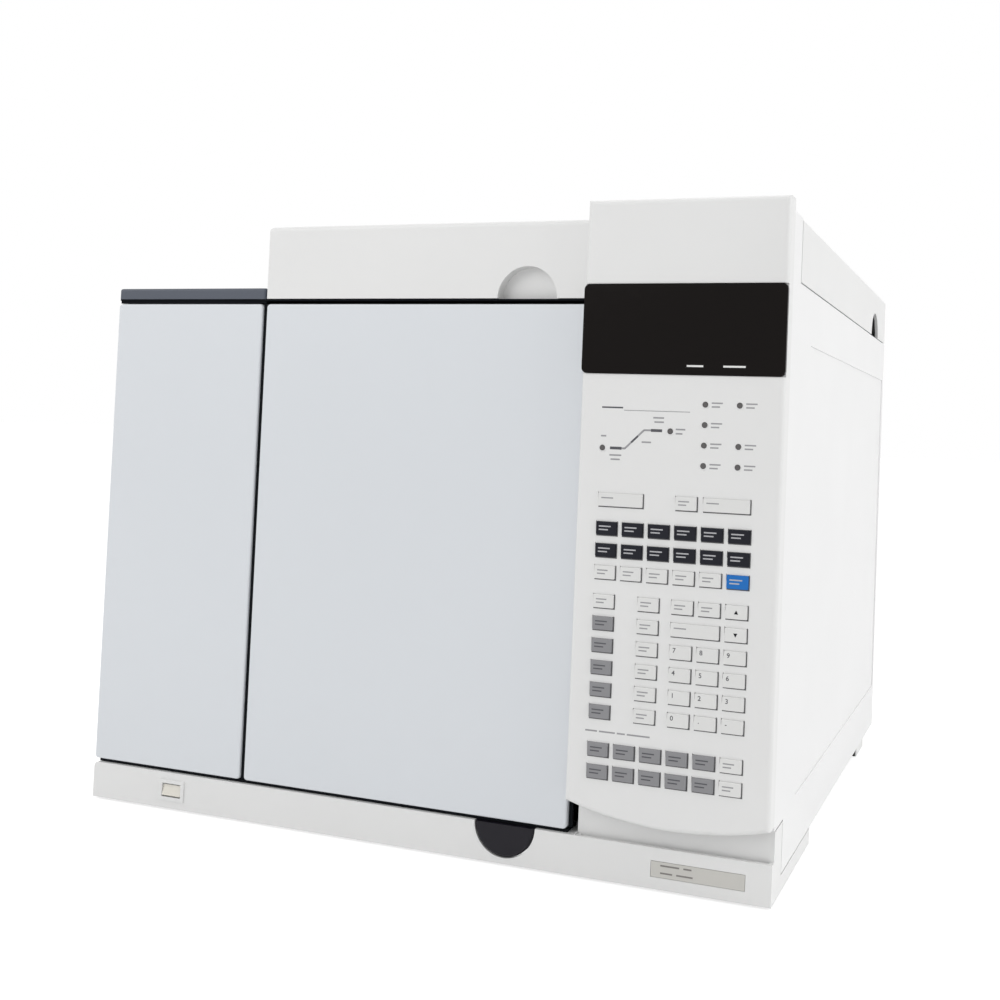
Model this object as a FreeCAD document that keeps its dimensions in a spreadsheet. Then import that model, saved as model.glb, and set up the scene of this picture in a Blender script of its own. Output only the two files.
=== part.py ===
import FreeCAD, Part
import os
import re
import Sketcher

# Bench-top gas chromatograph. Millimetres, +Z up, the front faces -Y and the object stands on Z = 0.
# Everything is drawn from the cabinet's front left bottom corner: X to the right, Y to the back.
# finish() then moves each piece so that the origin lies under the middle of the whole instrument.

Vec = FreeCAD.Vector
os.makedirs("parts", exist_ok=True)
doc = FreeCAD.newDocument("gas_chromatograph")

# ---------------------------------------------------------------- driving dimensions
SIZES = {
    # casing
    "cabinet_width": 582, "cabinet_depth": 505, "sheet": 2, "panel_sheet": 3,
    "foot_height": 14, "foot_radius": 18, "foot_inset": 45, "foot_taper": 3,
    "tray_lip": 16, "side_gap": 1, "inset_depth": 1,
    "inset_front": 74, "inset_rear": 8, "inset_bottom": 44, "inset_top": 42,
    # oven door and its surroundings
    "bezel_gap": 3, "door_bottom": 34, "door_top": 417, "seam": 4, "left_skin_width": 145,
    "skin": 6, "skin_wall": 1.5, "skin_rim": 12, "pan_wall": 1.2, "door_depth": 45, "oven_front_gap": 4,
    "pan_inset": 5, "door_corner": 3,
    "plug_depth": 12, "plug_clearance": 7, "plug_taper": 4, "gasket_width": 9, "gasket_gap": 0.3,
    "pin_radius": 3, "pin_fit": 0.05, "leaf_width": 24, "leaf_sheet": 2,
    "striker_width": 16, "striker_front": 24, "striker_depth": 10, "striker_gap": 1,
    # apron under the door
    "apron_height": 31, "apron_lift": 2, "apron_wall": 3, "apron_depth": 30, "apron_corner": 4,
    "apron_rise": 52, "return_length": 137, "cove_depth": 6,
    "latch_inset": 49, "latch_radius": 24, "latch_clearance": 0.6, "latch_depth": 20,
    "latch_stand": 1, "latch_edge": 2,
    "switch_left": 69, "switch_width": 22.5, "switch_height": 15, "switch_bottom": 9.5,
    "switch_frame": 1, "switch_depth": 26, "rocker_stand": 1, "rocker_side_gap": 0.4, "rocker_slack": 1.3,
    "rocker_depth": 7.5, "rocker_heel": 3, "rocker_well": 13,
    "plate_inset": 18.5, "plate_width": 69, "plate_height": 11.5, "plate_bottom": 10.5, "plate_sheet": 1,
    # oven
    "cavity_shift": 0.5, "cavity_width": 280, "cavity_height": 310, "cavity_depth": 160, "plenum": 50,
    "liner_sheet": 1.5, "insulation_below": 48, "insulation_wall": 38, "frame_sheet": 3,
    "deck_sheet": 2, "loose_gap": 0.3,
    "shroud_sheet": 1.5, "shroud_gap": 1, "grille_radius": 62, "grille_hub": 20, "grille_slot": 6,
    "outlet_slot": 9, "outlet_length": 34, "outlet_ring": 118,
    "fan_radius": 78, "fan_depth": 26, "fan_gap": 9, "fan_disc": 1.5, "blade_sheet": 1.5, "blade_sweep": 9,
    "fan_hub": 12, "shaft_radius": 5, "shaft_fit": 0.05, "shaft_clearance": 2,
    "motor_radius": 46, "motor_length": 62, "motor_flange": 112, "flange_sheet": 4, "motor_nose": 20,
    "heater_ring": 96, "heater_wire": 3.5, "heater_pitch": 14, "heater_post": 2,
    "probe_radius": 1.6, "probe_reach": 34, "probe_side": 112, "probe_rise": 104,
    "cage_radius": 88, "cage_depth": 46, "cage_wire": 2, "cage_rod": 1.5, "cage_gap": 16, "hook_spread": 52,
    "coil_build": 7, "coil_margin": 8, "lead_radius": 0.6, "lead_gap": 0.1,
    # inlets and detectors on the oven roof
    "inlet_side": 33, "detector_side": 70, "port_front": 92, "port_pitch": 78,
    "port_tube": 7, "port_flange": 22, "port_flange_sheet": 4, "port_nut": 9, "port_drop": 12,
    "inlet_radius": 14, "inlet_height": 40, "septum_nut": 10, "septum_height": 11,
    "detector_radius": 17, "detector_height": 36, "collector_radius": 9, "collector_height": 14,
    # covers on top
    "lid_bottom": 421, "lid_height": 59, "lid_wall": 3, "lid_depth": 300, "lid_gap": 4, "lid_corner": 4,
    "scoop_radius": 24.5, "scoop_depth": 12, "lid_pin": 2, "left_top_height": 9, "left_top_gap": 1.5,
    "left_top_corner": 4,
    # keypad column
    "bezel_width": 150, "bezel_top": 491, "bezel_stand": 13, "bezel_back": 2,
    "bezel_wall": 3, "bezel_edge": 3.5, "chin_height": 47.5, "chin_radius": 277, "chin_offset": 80,
    "column_top": 482.5, "cover_bottom": 436.5, "cover_front": 30, "cover_gap": 1.2, "cover_wall": 3,
    "cover_notch": 24, "cover_notch_inset": 80, "bulkhead_gap": 3,
    "window_bottom": 365, "window_height": 65, "window_depth": 3.3, 
    "window_recess": 2.5, "display_height": 40, "display_side": 14, "module_depth": 9,
    "keys_left": 24.2, "column_pitch": 19.5, "row_pitch": 15.6, "block_step": 20.5, "lower_step": 26.5,
    "first_row": 275.2, "second_column": 33.5, "key_width": 16.5, "key_height": 10.5, "top_key_width": 34.5,
    "key_clearance": 0.3, "key_stand": 1.5, "key_depth": 8, "key_draft": 0.6, "key_travel": 1.5,
    "board_sheet": 1.6, "board_side": 6, "board_bottom": 62, "board_top": 358, "boss_radius": 3.5,
    "lamp_radius": 2, "lamp_stand": 0.5, "lamp_clearance": 0.1, "lamp_left": 94, "lamp_column": 24.7,
    "lamp_row": 14.25, "lamp_bottom": 302, "low_lamp_left": 18.5, "low_lamp_height": 312,
    "high_lamp_left": 69, "high_lamp_height": 325.3,
    # back of the instrument and the electronics bay
    "duct_side": 40, "duct_bottom": 300, "duct_width": 90, "duct_height": 56, "duct_wall": 1.5,
    "flap_inset": 34, "flap_sheet": 2, "flap_pin": 3, "flap_gap": 1.5,
    "vent_slot": 5, "vent_length": 96, "vent_pitch": 12, "vent_bottom": 290, "vent_side": 24,
    "intake_left": 90, "intake_bottom": 110, "intake_length": 120,
    "socket_inset": 44, "socket_bottom": 48, "socket_width": 50, "socket_height": 30, "socket_depth": 32,
    "socket_wall": 3.5, "socket_flange": 5, "socket_pin": 4, "socket_pin_gap": 14,
    "fitting_inset": 18, "fitting_pitch": 34, "fitting_height": 24, "fitting_hex": 7.5,
    "fitting_thread": 3.97,
    "fitting_nut": 5, "fitting_reach": 14, "fitting_shank": 3, "fitting_fit": 0.05,
    "module_inset": 274, "module_width": 118, "module_step": 130, "module_front": 334, "module_back_gap": 30,
    "module_height": 40, "module_lid": 6,
    "mainboard_front": 40, "mainboard_length": 300, "mainboard_bottom": 130, "mainboard_height": 280,
    "standoff": 6, "supply_inset": 20, "supply_width": 110, "supply_length": 200, "supply_height": 80,
    "supply_rear": 40,
}

sheet = doc.addObject("Spreadsheet::Sheet", "dims")
for row, (alias, value) in enumerate(SIZES.items(), start=1):
    sheet.set("A%d" % row, str(value))
    sheet.setAlias("A%d" % row, alias)
doc.recompute()

# Places that follow from the sizes: the keypad column keeps to the right edge, the door fills what is left,
# the oven stands behind the middle of the door, and the inlets, the latch and the rest follow them.
FOLLOWING = {
    "bezel_left": "(cabinet_width - bezel_width)",
    "door_width": "(bezel_left - bezel_gap)",
    "cavity_left": "((door_width - cavity_width) / 2 + cavity_shift)",
    "inlet_left": "(cavity_left + cavity_width / 2 - inlet_side)",
    "detector_left": "(cavity_left + cavity_width / 2 + detector_side)",
    "duct_left": "(cavity_left + cavity_width / 2 + duct_side)",
    "latch_centre": "(door_width - latch_inset)",
    "plate_left": "(cabinet_width - plate_inset - plate_width)",
    "module_left": "(bezel_left - module_inset)",
    "fitting_left": "(module_left + fitting_inset)",
    "socket_left": "(bezel_left + socket_inset)",
    "supply_left": "(bezel_left + supply_inset)",
}

PIECES = {}


# ---------------------------------------------------------------- small workshop helpers
def cells(formula):
    """The formula with the following places written out and the sheet's name before each dimension."""
    def written_out(word):
        if word[0] in FOLLOWING:
            return cells(FOLLOWING[word[0]])
        return "dims." + word[0] if word[0] in SIZES else word[0]
    return re.sub(r"[a-z_]+", written_out, str(formula))


def bind(thing, **formulas):
    """Ties properties to formulas, with __ for the dots in a property's path."""
    for path, formula in formulas.items():
        thing.setExpression(path.replace("__", "."), cells(formula))
    return thing


def place(thing, at):
    """Ties the place of a primitive to three formulas."""
    return bind(thing, Placement__Base__x=at[0], Placement__Base__y=at[1], Placement__Base__z=at[2])


def box(name, at, size):
    """A block from its lowest corner and its three sides."""
    block = doc.addObject("Part::Box", name)
    bind(block, Length=size[0], Width=size[1], Height=size[2])
    return place(block, at)


TURNS = {"X": FreeCAD.Rotation(Vec(0, 1, 0), 90), "Y": FreeCAD.Rotation(Vec(1, 0, 0), -90),
         "Z": FreeCAD.Rotation()}


def rod(name, axis, at, radius, length, kind="Part::Cylinder"):
    """A round bar that starts at a point and runs along +X, +Y or +Z."""
    bar = doc.addObject(kind, name)
    bar.Placement.Rotation = TURNS[axis]
    bind(bar, Radius=radius, Height=length)
    return place(bar, at)


def cut(name, base, *tools):
    """The base with every tool taken out of it."""
    result = base
    for count, tool in enumerate(tools, start=1):
        step = doc.addObject("Part::Cut", name if count == len(tools) else "%s_cut%d" % (name, count))
        step.Base = result
        step.Tool = tool
        result = step
    return result


def fuse(name, *shapes):
    """One solid from pieces that are made or welded as one."""
    joined = doc.addObject("Part::MultiFuse", name)
    joined.Shapes = list(shapes)
    joined.Refine = True
    return joined


def group(name, shapes):
    """Separate solids of one kind, kept as one node."""
    together = doc.addObject("Part::Compound", name)
    together.Links = list(shapes)
    return together


def finish(thing, label):
    """Names a piece and moves it from the corner's frame to the instrument's own."""
    thing.Label = label
    bind(thing, Placement__Base__x="-cabinet_width / 2",
         Placement__Base__y="-(cabinet_depth + fitting_reach - bezel_stand - key_stand) / 2")
    PIECES[label] = thing
    return thing


# ---------------------------------------------------------------- sketches and features
def sketch(body, name, plane, offset="0"):
    """A sketch on one of the body's own planes, lifted along the plane's normal."""
    drawing = body.newObject("Sketcher::SketchObject", name)
    origin_plane = [feature for feature in body.Origin.OriginFeatures if feature.Role == plane + "_Plane"][0]
    drawing.AttachmentSupport = [(origin_plane, "")]
    drawing.MapMode = "FlatFace"
    return bind(drawing, AttachmentOffset__Base__z=offset)


def front_sketch(body, name, depth="0"):
    """A sketch seen from the front, X to the right and Z up, at a depth behind the front plane."""
    return sketch(body, name, "XZ", "-(%s)" % depth)


def number(formula):
    """What a formula of driving dimensions comes to now."""
    return float(sheet.evalExpression(cells(formula)))


def tie(drawing, kind, formula, *ends):
    """Adds one dimension to a sketch and ties it to a formula."""
    index = drawing.addConstraint(Sketcher.Constraint(kind, *ends, number(formula)))
    drawing.setExpression("Constraints[%d]" % index, cells(formula))


def pin_point(drawing, geometry, end, point):
    """Ties one sketch point to two formulas."""
    for kind, formula in zip(("DistanceX", "DistanceY"), point):
        tie(drawing, kind, formula, -1, 1, geometry, end)


def polygon(drawing, points):
    """A closed outline of straight lines through points given as formulas."""
    first = drawing.GeometryCount
    count = len(points)
    corners = [Vec(number(across), number(up), 0) for across, up in points]
    for index in range(count):
        drawing.addGeometry(Part.LineSegment(corners[index], corners[(index + 1) % count]), False)
    for index in range(count):
        following = first + (index + 1) % count
        drawing.addConstraint(Sketcher.Constraint("Coincident", first + index, 2, following, 1))
    for index, point in enumerate(points):
        pin_point(drawing, first + index, 1, point)
    return drawing


def rectangle(drawing, left, bottom, width, height):
    """A rectangle from its lower left corner."""
    right = "(%s) + (%s)" % (left, width)
    top = "(%s) + (%s)" % (bottom, height)
    return polygon(drawing, [(left, bottom), (right, bottom), (right, top), (left, top)])


def circle(drawing, centre, radius):
    """A circle whose centre and radius are formulas."""
    middle = Vec(number(centre[0]), number(centre[1]), 0)
    ring = drawing.addGeometry(Part.Circle(middle, Vec(0, 0, 1), number(radius)), False)
    pin_point(drawing, ring, 3, centre)
    tie(drawing, "Radius", radius, ring)
    return drawing


def pad(body, drawing, length, reverse=False):
    """Adds the drawing's outline, grown along its normal, or against it when reversed."""
    solid = body.newObject("PartDesign::Pad", drawing.Name + "_pad")
    solid.Profile = drawing
    solid.Reversed = reverse
    return bind(solid, Length=length)


def pocket(body, drawing, length, reverse=False):
    """Cuts the drawing's outline out of the body and makes sure that it took material away."""
    doc.recompute()
    before = body.Shape.Volume
    hollow = body.newObject("PartDesign::Pocket", drawing.Name + "_pocket")
    hollow.Profile = drawing
    hollow.Reversed = reverse
    bind(hollow, Length=length)
    doc.recompute()
    if not body.Shape.Volume < before:
        raise RuntimeError("%s cuts nothing" % hollow.Name)
    return hollow


def revolve(body, drawing, axis="V_Axis"):
    """A full turn of the drawing's outline about one of its own axes."""
    turned = body.newObject("PartDesign::Revolution", drawing.Name + "_turn")
    turned.Profile = drawing
    turned.ReferenceAxis = (drawing, [axis])
    turned.Angle = 360
    return turned


def new_body(name):
    """An empty body."""
    return doc.addObject("PartDesign::Body", name)


def edges(feature, direction, test=lambda point: True):
    """The straight edges of a feature that run along one axis and whose middle passes a test."""
    doc.recompute()
    found = []
    for number, edge in enumerate(feature.Shape.Edges, start=1):
        if edge.Curve.TypeId != "Part::GeomLine":
            continue
        middle = edge.valueAt((edge.FirstParameter + edge.LastParameter) / 2)
        if abs(edge.tangentAt(edge.FirstParameter).dot(direction)) > 0.999 and test(middle):
            found.append("Edge%d" % number)
    return found


def round_edges(body, feature, names, radius):
    """Rounds the named edges of a feature."""
    rounded = body.newObject("PartDesign::Fillet", feature.Name + "_round")
    rounded.Base = (feature, names)
    return bind(rounded, Radius=radius)


def bevel_edges(body, feature, names, size):
    """Breaks the named edges of a feature."""
    broken = body.newObject("PartDesign::Chamfer", feature.Name + "_bevel")
    broken.Base = (feature, names)
    return bind(broken, Size=size)


ALONG_X, ALONG_Y, ALONG_Z = Vec(1, 0, 0), Vec(0, 1, 0), Vec(0, 0, 1)

# Places that several pieces share.
HINGE_X = "(pan_inset + pin_radius + side_gap)"
HINGE_Y = "(skin + pin_radius + side_gap)"
BAY_LEFT = "(bezel_left + bulkhead_gap)"
OVEN_FLOOR = "(foot_height + sheet + insulation_below + liner_sheet)"
OVEN_FRONT = "(door_depth + oven_front_gap + frame_sheet)"
OVEN_BACK = "(%s + cavity_depth + plenum)" % OVEN_FRONT
SHELL_BACK = "(%s + liner_sheet + insulation_wall)" % OVEN_BACK
SHROUD_FACE = "(%s + cavity_depth)" % OVEN_FRONT
MIDDLE_X = "(cavity_left + cavity_width / 2)"
MIDDLE_Z = "(%s + cavity_height / 2)" % OVEN_FLOOR
DECK_BOTTOM = "(lid_bottom - deck_sheet)"
PROBE_X = "(%s + probe_side)" % MIDDLE_X
PROBE_Z = "(%s + probe_rise)" % MIDDLE_Z
LID_TOP = "(lid_bottom + lid_height)"
BEZEL_FRONT = "(-bezel_stand)"


# ---------------------------------------------------------------- casing
def make_feet():
    """Four rubber feet, tapered towards the bench."""
    feet = []
    for side in ("foot_inset", "cabinet_width - foot_inset"):
        for row in ("foot_inset", "cabinet_depth - foot_inset"):
            foot = doc.addObject("Part::Cone", "foot")
            bind(foot, Radius1="foot_radius - foot_taper", Radius2="foot_radius", Height="foot_height")
            feet.append(place(foot, (side, row, "0")))
    return finish(group("feet_group", feet), "feet")


def make_base_pan():
    """The sheet-metal tray that carries the oven and the power supply."""
    left, front = "panel_sheet + side_gap", "apron_depth + loose_gap"
    width = "cabinet_width - 2 * (%s)" % left
    depth = "cabinet_depth - sheet - side_gap - (%s)" % front
    outer = box("pan_blank", (left, front, "foot_height"), (width, depth, "tray_lip"))
    inner = box("pan_inside", (left + " + sheet", front + " + sheet", "foot_height + sheet"),
                (width + " - 2 * sheet", depth + " - 2 * sheet", "tray_lip"))
    return finish(cut("pan_tray", outer, inner), "base_pan")


def make_side_panels():
    """The two painted side panels, each pressed in over a large field with a raised border."""
    rise = "lid_bottom - deck_sheet - side_gap"
    left = new_body("left_panel")
    outline = sketch(left, "left_panel_outline", "YZ")
    rectangle(outline, "door_depth + side_gap", "foot_height + side_gap",
              "cabinet_depth - door_depth - side_gap", rise + " - foot_height - side_gap")
    blank = pad(left, outline, "panel_sheet")
    round_edges(left, blank, edges(blank, ALONG_X), "inset_depth")
    field = sketch(left, "left_panel_field", "YZ")
    rectangle(field, "inset_front", "foot_height + inset_bottom",
              "cabinet_depth - inset_front - inset_rear",
              rise + " - foot_height - inset_bottom - inset_top / 2")
    pocket(left, field, "inset_depth", reverse=True)
    finish(left, "left_side_panel")

    right = new_body("right_panel")
    outline = sketch(right, "right_panel_outline", "YZ", "cabinet_width - panel_sheet")
    polygon(outline, [("bezel_back", "apron_rise + cover_gap"), ("bezel_back", "column_top"),
                      ("cover_front - cover_gap", "column_top"),
                      ("cover_front - cover_gap", "cover_bottom - cover_gap"),
                      ("cabinet_depth", "cover_bottom - cover_gap"), ("cabinet_depth", "foot_height + side_gap"),
                      ("apron_depth + side_gap", "foot_height + side_gap"),
                      ("apron_depth + side_gap", "apron_rise + cover_gap")])
    pad(right, outline, "panel_sheet")
    field = sketch(right, "right_panel_field", "YZ", "cabinet_width")
    rectangle(field, "inset_front", "foot_height + inset_bottom",
              "cabinet_depth - inset_front - inset_rear",
              "cover_bottom - inset_top - foot_height - inset_bottom")
    pocket(right, field, "inset_depth")
    nose = sketch(right, "right_panel_nose", "XY", "column_top")
    rectangle(nose, "bezel_left + bulkhead_gap + sheet + side_gap", "bezel_back",
              "cabinet_width - panel_sheet - bezel_left - bulkhead_gap - sheet - side_gap",
              "cover_front - cover_gap - bezel_back")
    pad(right, nose, "sheet", reverse=True)
    return finish(right, "right_side_panel")


def make_bulkhead():
    """The wall between the oven and the electronics bay, with standoffs for the main board."""
    wall = box("bay_wall", (BAY_LEFT, "bezel_back", "foot_height + sheet"),
               ("sheet", "cabinet_depth - 2 * sheet - side_gap - loose_gap - bezel_back",
                "column_top - cover_wall - loose_gap - foot_height - sheet"))
    notch = box("bay_wall_notch", (BAY_LEFT + " - side_gap", "0", "0"),
                ("sheet + 2 * side_gap", "apron_depth + sheet + side_gap", "apron_rise + side_gap"))
    posts = []
    for row in ("mainboard_front + 2 * standoff", "mainboard_front + mainboard_length - 2 * standoff"):
        for level in ("mainboard_bottom + 2 * standoff",
                      "mainboard_bottom + mainboard_height - 2 * standoff"):
            posts.append(rod("bay_standoff", "X", (BAY_LEFT + " + sheet", row, level), "standoff / 2",
                             "standoff"))
    return finish(fuse("bay_wall_with_posts", cut("bay_wall_notched", wall, notch), *posts),
                  "bay_bulkhead")


def make_rear_panel():
    """The back sheet with the duct's mouth, an air intake, cooling slots and the inlet's cut-out."""
    back = new_body("back_sheet")
    outline = front_sketch(back, "back_outline", "cabinet_depth")
    polygon(outline, [("panel_sheet", "foot_height + side_gap"),
                      ("cabinet_width - panel_sheet", "foot_height + side_gap"),
                      ("cabinet_width - panel_sheet", "cover_bottom - cover_gap"),
                      (BAY_LEFT, "cover_bottom - cover_gap"), (BAY_LEFT, "lid_bottom - deck_sheet - side_gap"),
                      ("panel_sheet", "lid_bottom - deck_sheet - side_gap")])
    pad(back, outline, "sheet")
    openings = front_sketch(back, "back_openings", "cabinet_depth")
    rectangle(openings, "duct_left - loose_gap", "duct_bottom - loose_gap",
              "duct_width + 2 * loose_gap", "duct_height + 2 * loose_gap")
    rectangle(openings, "socket_left", "socket_bottom", "socket_width", "socket_height")
    pocket(back, openings, "sheet", reverse=True)
    for name, left, bottom, length, count in (
            ("bay_slot", "cabinet_width - vent_side - vent_length", "vent_bottom", "vent_length", 9),
            ("intake_slot", "intake_left", "intake_bottom", "intake_length", 7)):
        drawing = front_sketch(back, name, "cabinet_depth")
        rectangle(drawing, left, bottom, length, "vent_slot")
        slot = pocket(back, drawing, "sheet", reverse=True)
        rows = back.newObject("PartDesign::LinearPattern", name + "_rows")
        rows.Originals = [slot]
        rows.Direction = (drawing, ["V_Axis"])
        rows.Occurrences = count
        bind(rows, Length="vent_pitch * %d" % (count - 1))
        back.Tip = rows
    return finish(back, "rear_panel")


# ---------------------------------------------------------------- apron, latch button and power switch
def make_apron():
    """The moulded skirt under the door, with a half-round bay for the latch and a higher right end."""
    apron = new_body("apron_moulding")
    outline = front_sketch(apron, "apron_outline")
    step = BAY_LEFT + " + side_gap"
    polygon(outline, [("0", "apron_lift"), ("cabinet_width", "apron_lift"), ("cabinet_width", "apron_rise"),
                      (step, "apron_rise"), (step, "apron_height"), ("0", "apron_height")])
    blank = pad(apron, outline, "apron_depth", reverse=True)
    corner = edges(blank, ALONG_Y, lambda point: point.x < 1 and point.z > number("apron_lift") + 1)
    front = edges(blank, ALONG_X, lambda point: abs(point.y) < 0.01 and point.z < number("apron_lift") + 1)
    rounded = round_edges(apron, blank, corner, "apron_corner")
    round_edges(apron, rounded, front, "apron_wall / 2")
    inside = front_sketch(apron, "apron_inside", "apron_depth")
    wall_step = step + " + apron_wall"
    polygon(inside, [("apron_wall", "0"), ("cabinet_width - apron_wall", "0"),
                     ("cabinet_width - apron_wall", "apron_rise - apron_wall"),
                     (wall_step, "apron_rise - apron_wall"), (wall_step, "apron_height - apron_wall"),
                     ("apron_wall", "apron_height - apron_wall")])
    pocket(apron, inside, "apron_depth - apron_wall", reverse=True)
    cove = front_sketch(apron, "apron_cove")
    rectangle(cove, step, "apron_height", "cabinet_width", "apron_rise")
    pocket(apron, cove, "cove_depth")
    backing = front_sketch(apron, "apron_cove_wall", "cove_depth")
    rectangle(backing, step, "apron_height - apron_wall", "cabinet_width - (%s)" % step,
              "apron_rise - apron_height + apron_wall")
    pad(apron, backing, "apron_wall", reverse=True)
    latch = front_sketch(apron, "latch_bay")
    circle(latch, ("latch_centre", "apron_height"), "latch_radius + latch_clearance")
    pocket(apron, latch, "apron_depth")
    switch = front_sketch(apron, "switch_hole")
    rectangle(switch, "switch_left", "switch_bottom", "switch_width", "switch_height")
    pocket(apron, switch, "apron_wall")
    plate = front_sketch(apron, "plate_seat")
    rectangle(plate, "plate_left", "plate_bottom", "plate_width", "plate_height")
    pocket(apron, plate, "plate_sheet")
    for name, left in (("left_return", "0"), ("right_return", "cabinet_width - apron_wall")):
        flank = sketch(apron, name, "YZ", left)
        rectangle(flank, "apron_wall", "apron_lift", "return_length - apron_wall",
                  "foot_height - apron_lift")
        pad(apron, flank, "apron_wall")
    return finish(apron, "front_apron")


def make_latch_button():
    """The half-round push button that lets the oven door spring free."""
    button = new_body("latch_cap")
    face = front_sketch(button, "latch_face", "-latch_stand")
    circle(face, ("latch_centre", "apron_height"), "latch_radius")
    cap = pad(button, face, "latch_depth", reverse=True)
    doc.recompute()
    rim = ["Edge%d" % number for number, edge in enumerate(cap.Shape.Edges, start=1)
           if edge.Closed and edge.BoundBox.YMax < 0]
    bevel_edges(button, cap, rim, "latch_edge")
    upper = front_sketch(button, "latch_upper", "-2 * latch_stand")
    rectangle(upper, "latch_centre - 2 * latch_radius", "apron_height", "4 * latch_radius", "2 * latch_radius")
    pocket(button, upper, "latch_depth + 2 * latch_stand")
    return finish(button, "latch_button")


def make_power_switch():
    """The snap-in switch frame and the rocker that tilts in it."""
    rim = "switch_frame"
    flange = box("switch_rim", ("switch_left - " + rim, "-" + rim, "switch_bottom - " + rim),
                 ("switch_width + 2 * " + rim, rim, "switch_height + 2 * " + rim))
    shell = box("switch_shell", ("switch_left + loose_gap", "0", "switch_bottom + loose_gap"),
                ("switch_width - 2 * loose_gap", "switch_depth", "switch_height - 2 * loose_gap"))
    well = box("switch_well", ("switch_left + 2 * " + rim, "-2 * " + rim, "switch_bottom + 2 * " + rim),
               ("switch_width - 4 * " + rim, "rocker_well", "switch_height - 4 * " + rim))
    finish(cut("switch_body", fuse("switch_solid", shell, flange), well), "switch_housing")

    middle = "(switch_bottom + switch_height / 2)"
    half = "(switch_height / 2 - 2 * switch_frame - rocker_slack)"
    rocker = new_body("rocker_cap")
    profile = sketch(rocker, "rocker_profile", "YZ", "switch_left + 2 * switch_frame + rocker_side_gap")
    polygon(profile, [("-rocker_stand", "%s - %s" % (middle, half)), ("0", middle),
                      ("rocker_stand", "%s + %s" % (middle, half)),
                      ("rocker_depth", middle + " + rocker_heel / 2"),
                      ("rocker_depth", middle + " - rocker_heel / 2")])
    pad(rocker, profile, "switch_width - 4 * switch_frame - 2 * rocker_side_gap")
    return finish(rocker, "power_rocker")


def make_plate():
    """A bare plate set flush into the apron."""
    plate = box("plate_blank", ("plate_left + loose_gap", "0", "plate_bottom + loose_gap"),
                ("plate_width - 2 * loose_gap", "plate_sheet", "plate_height - 2 * loose_gap"))
    return finish(group("plate_single", [plate]), "name_plate")


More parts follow.
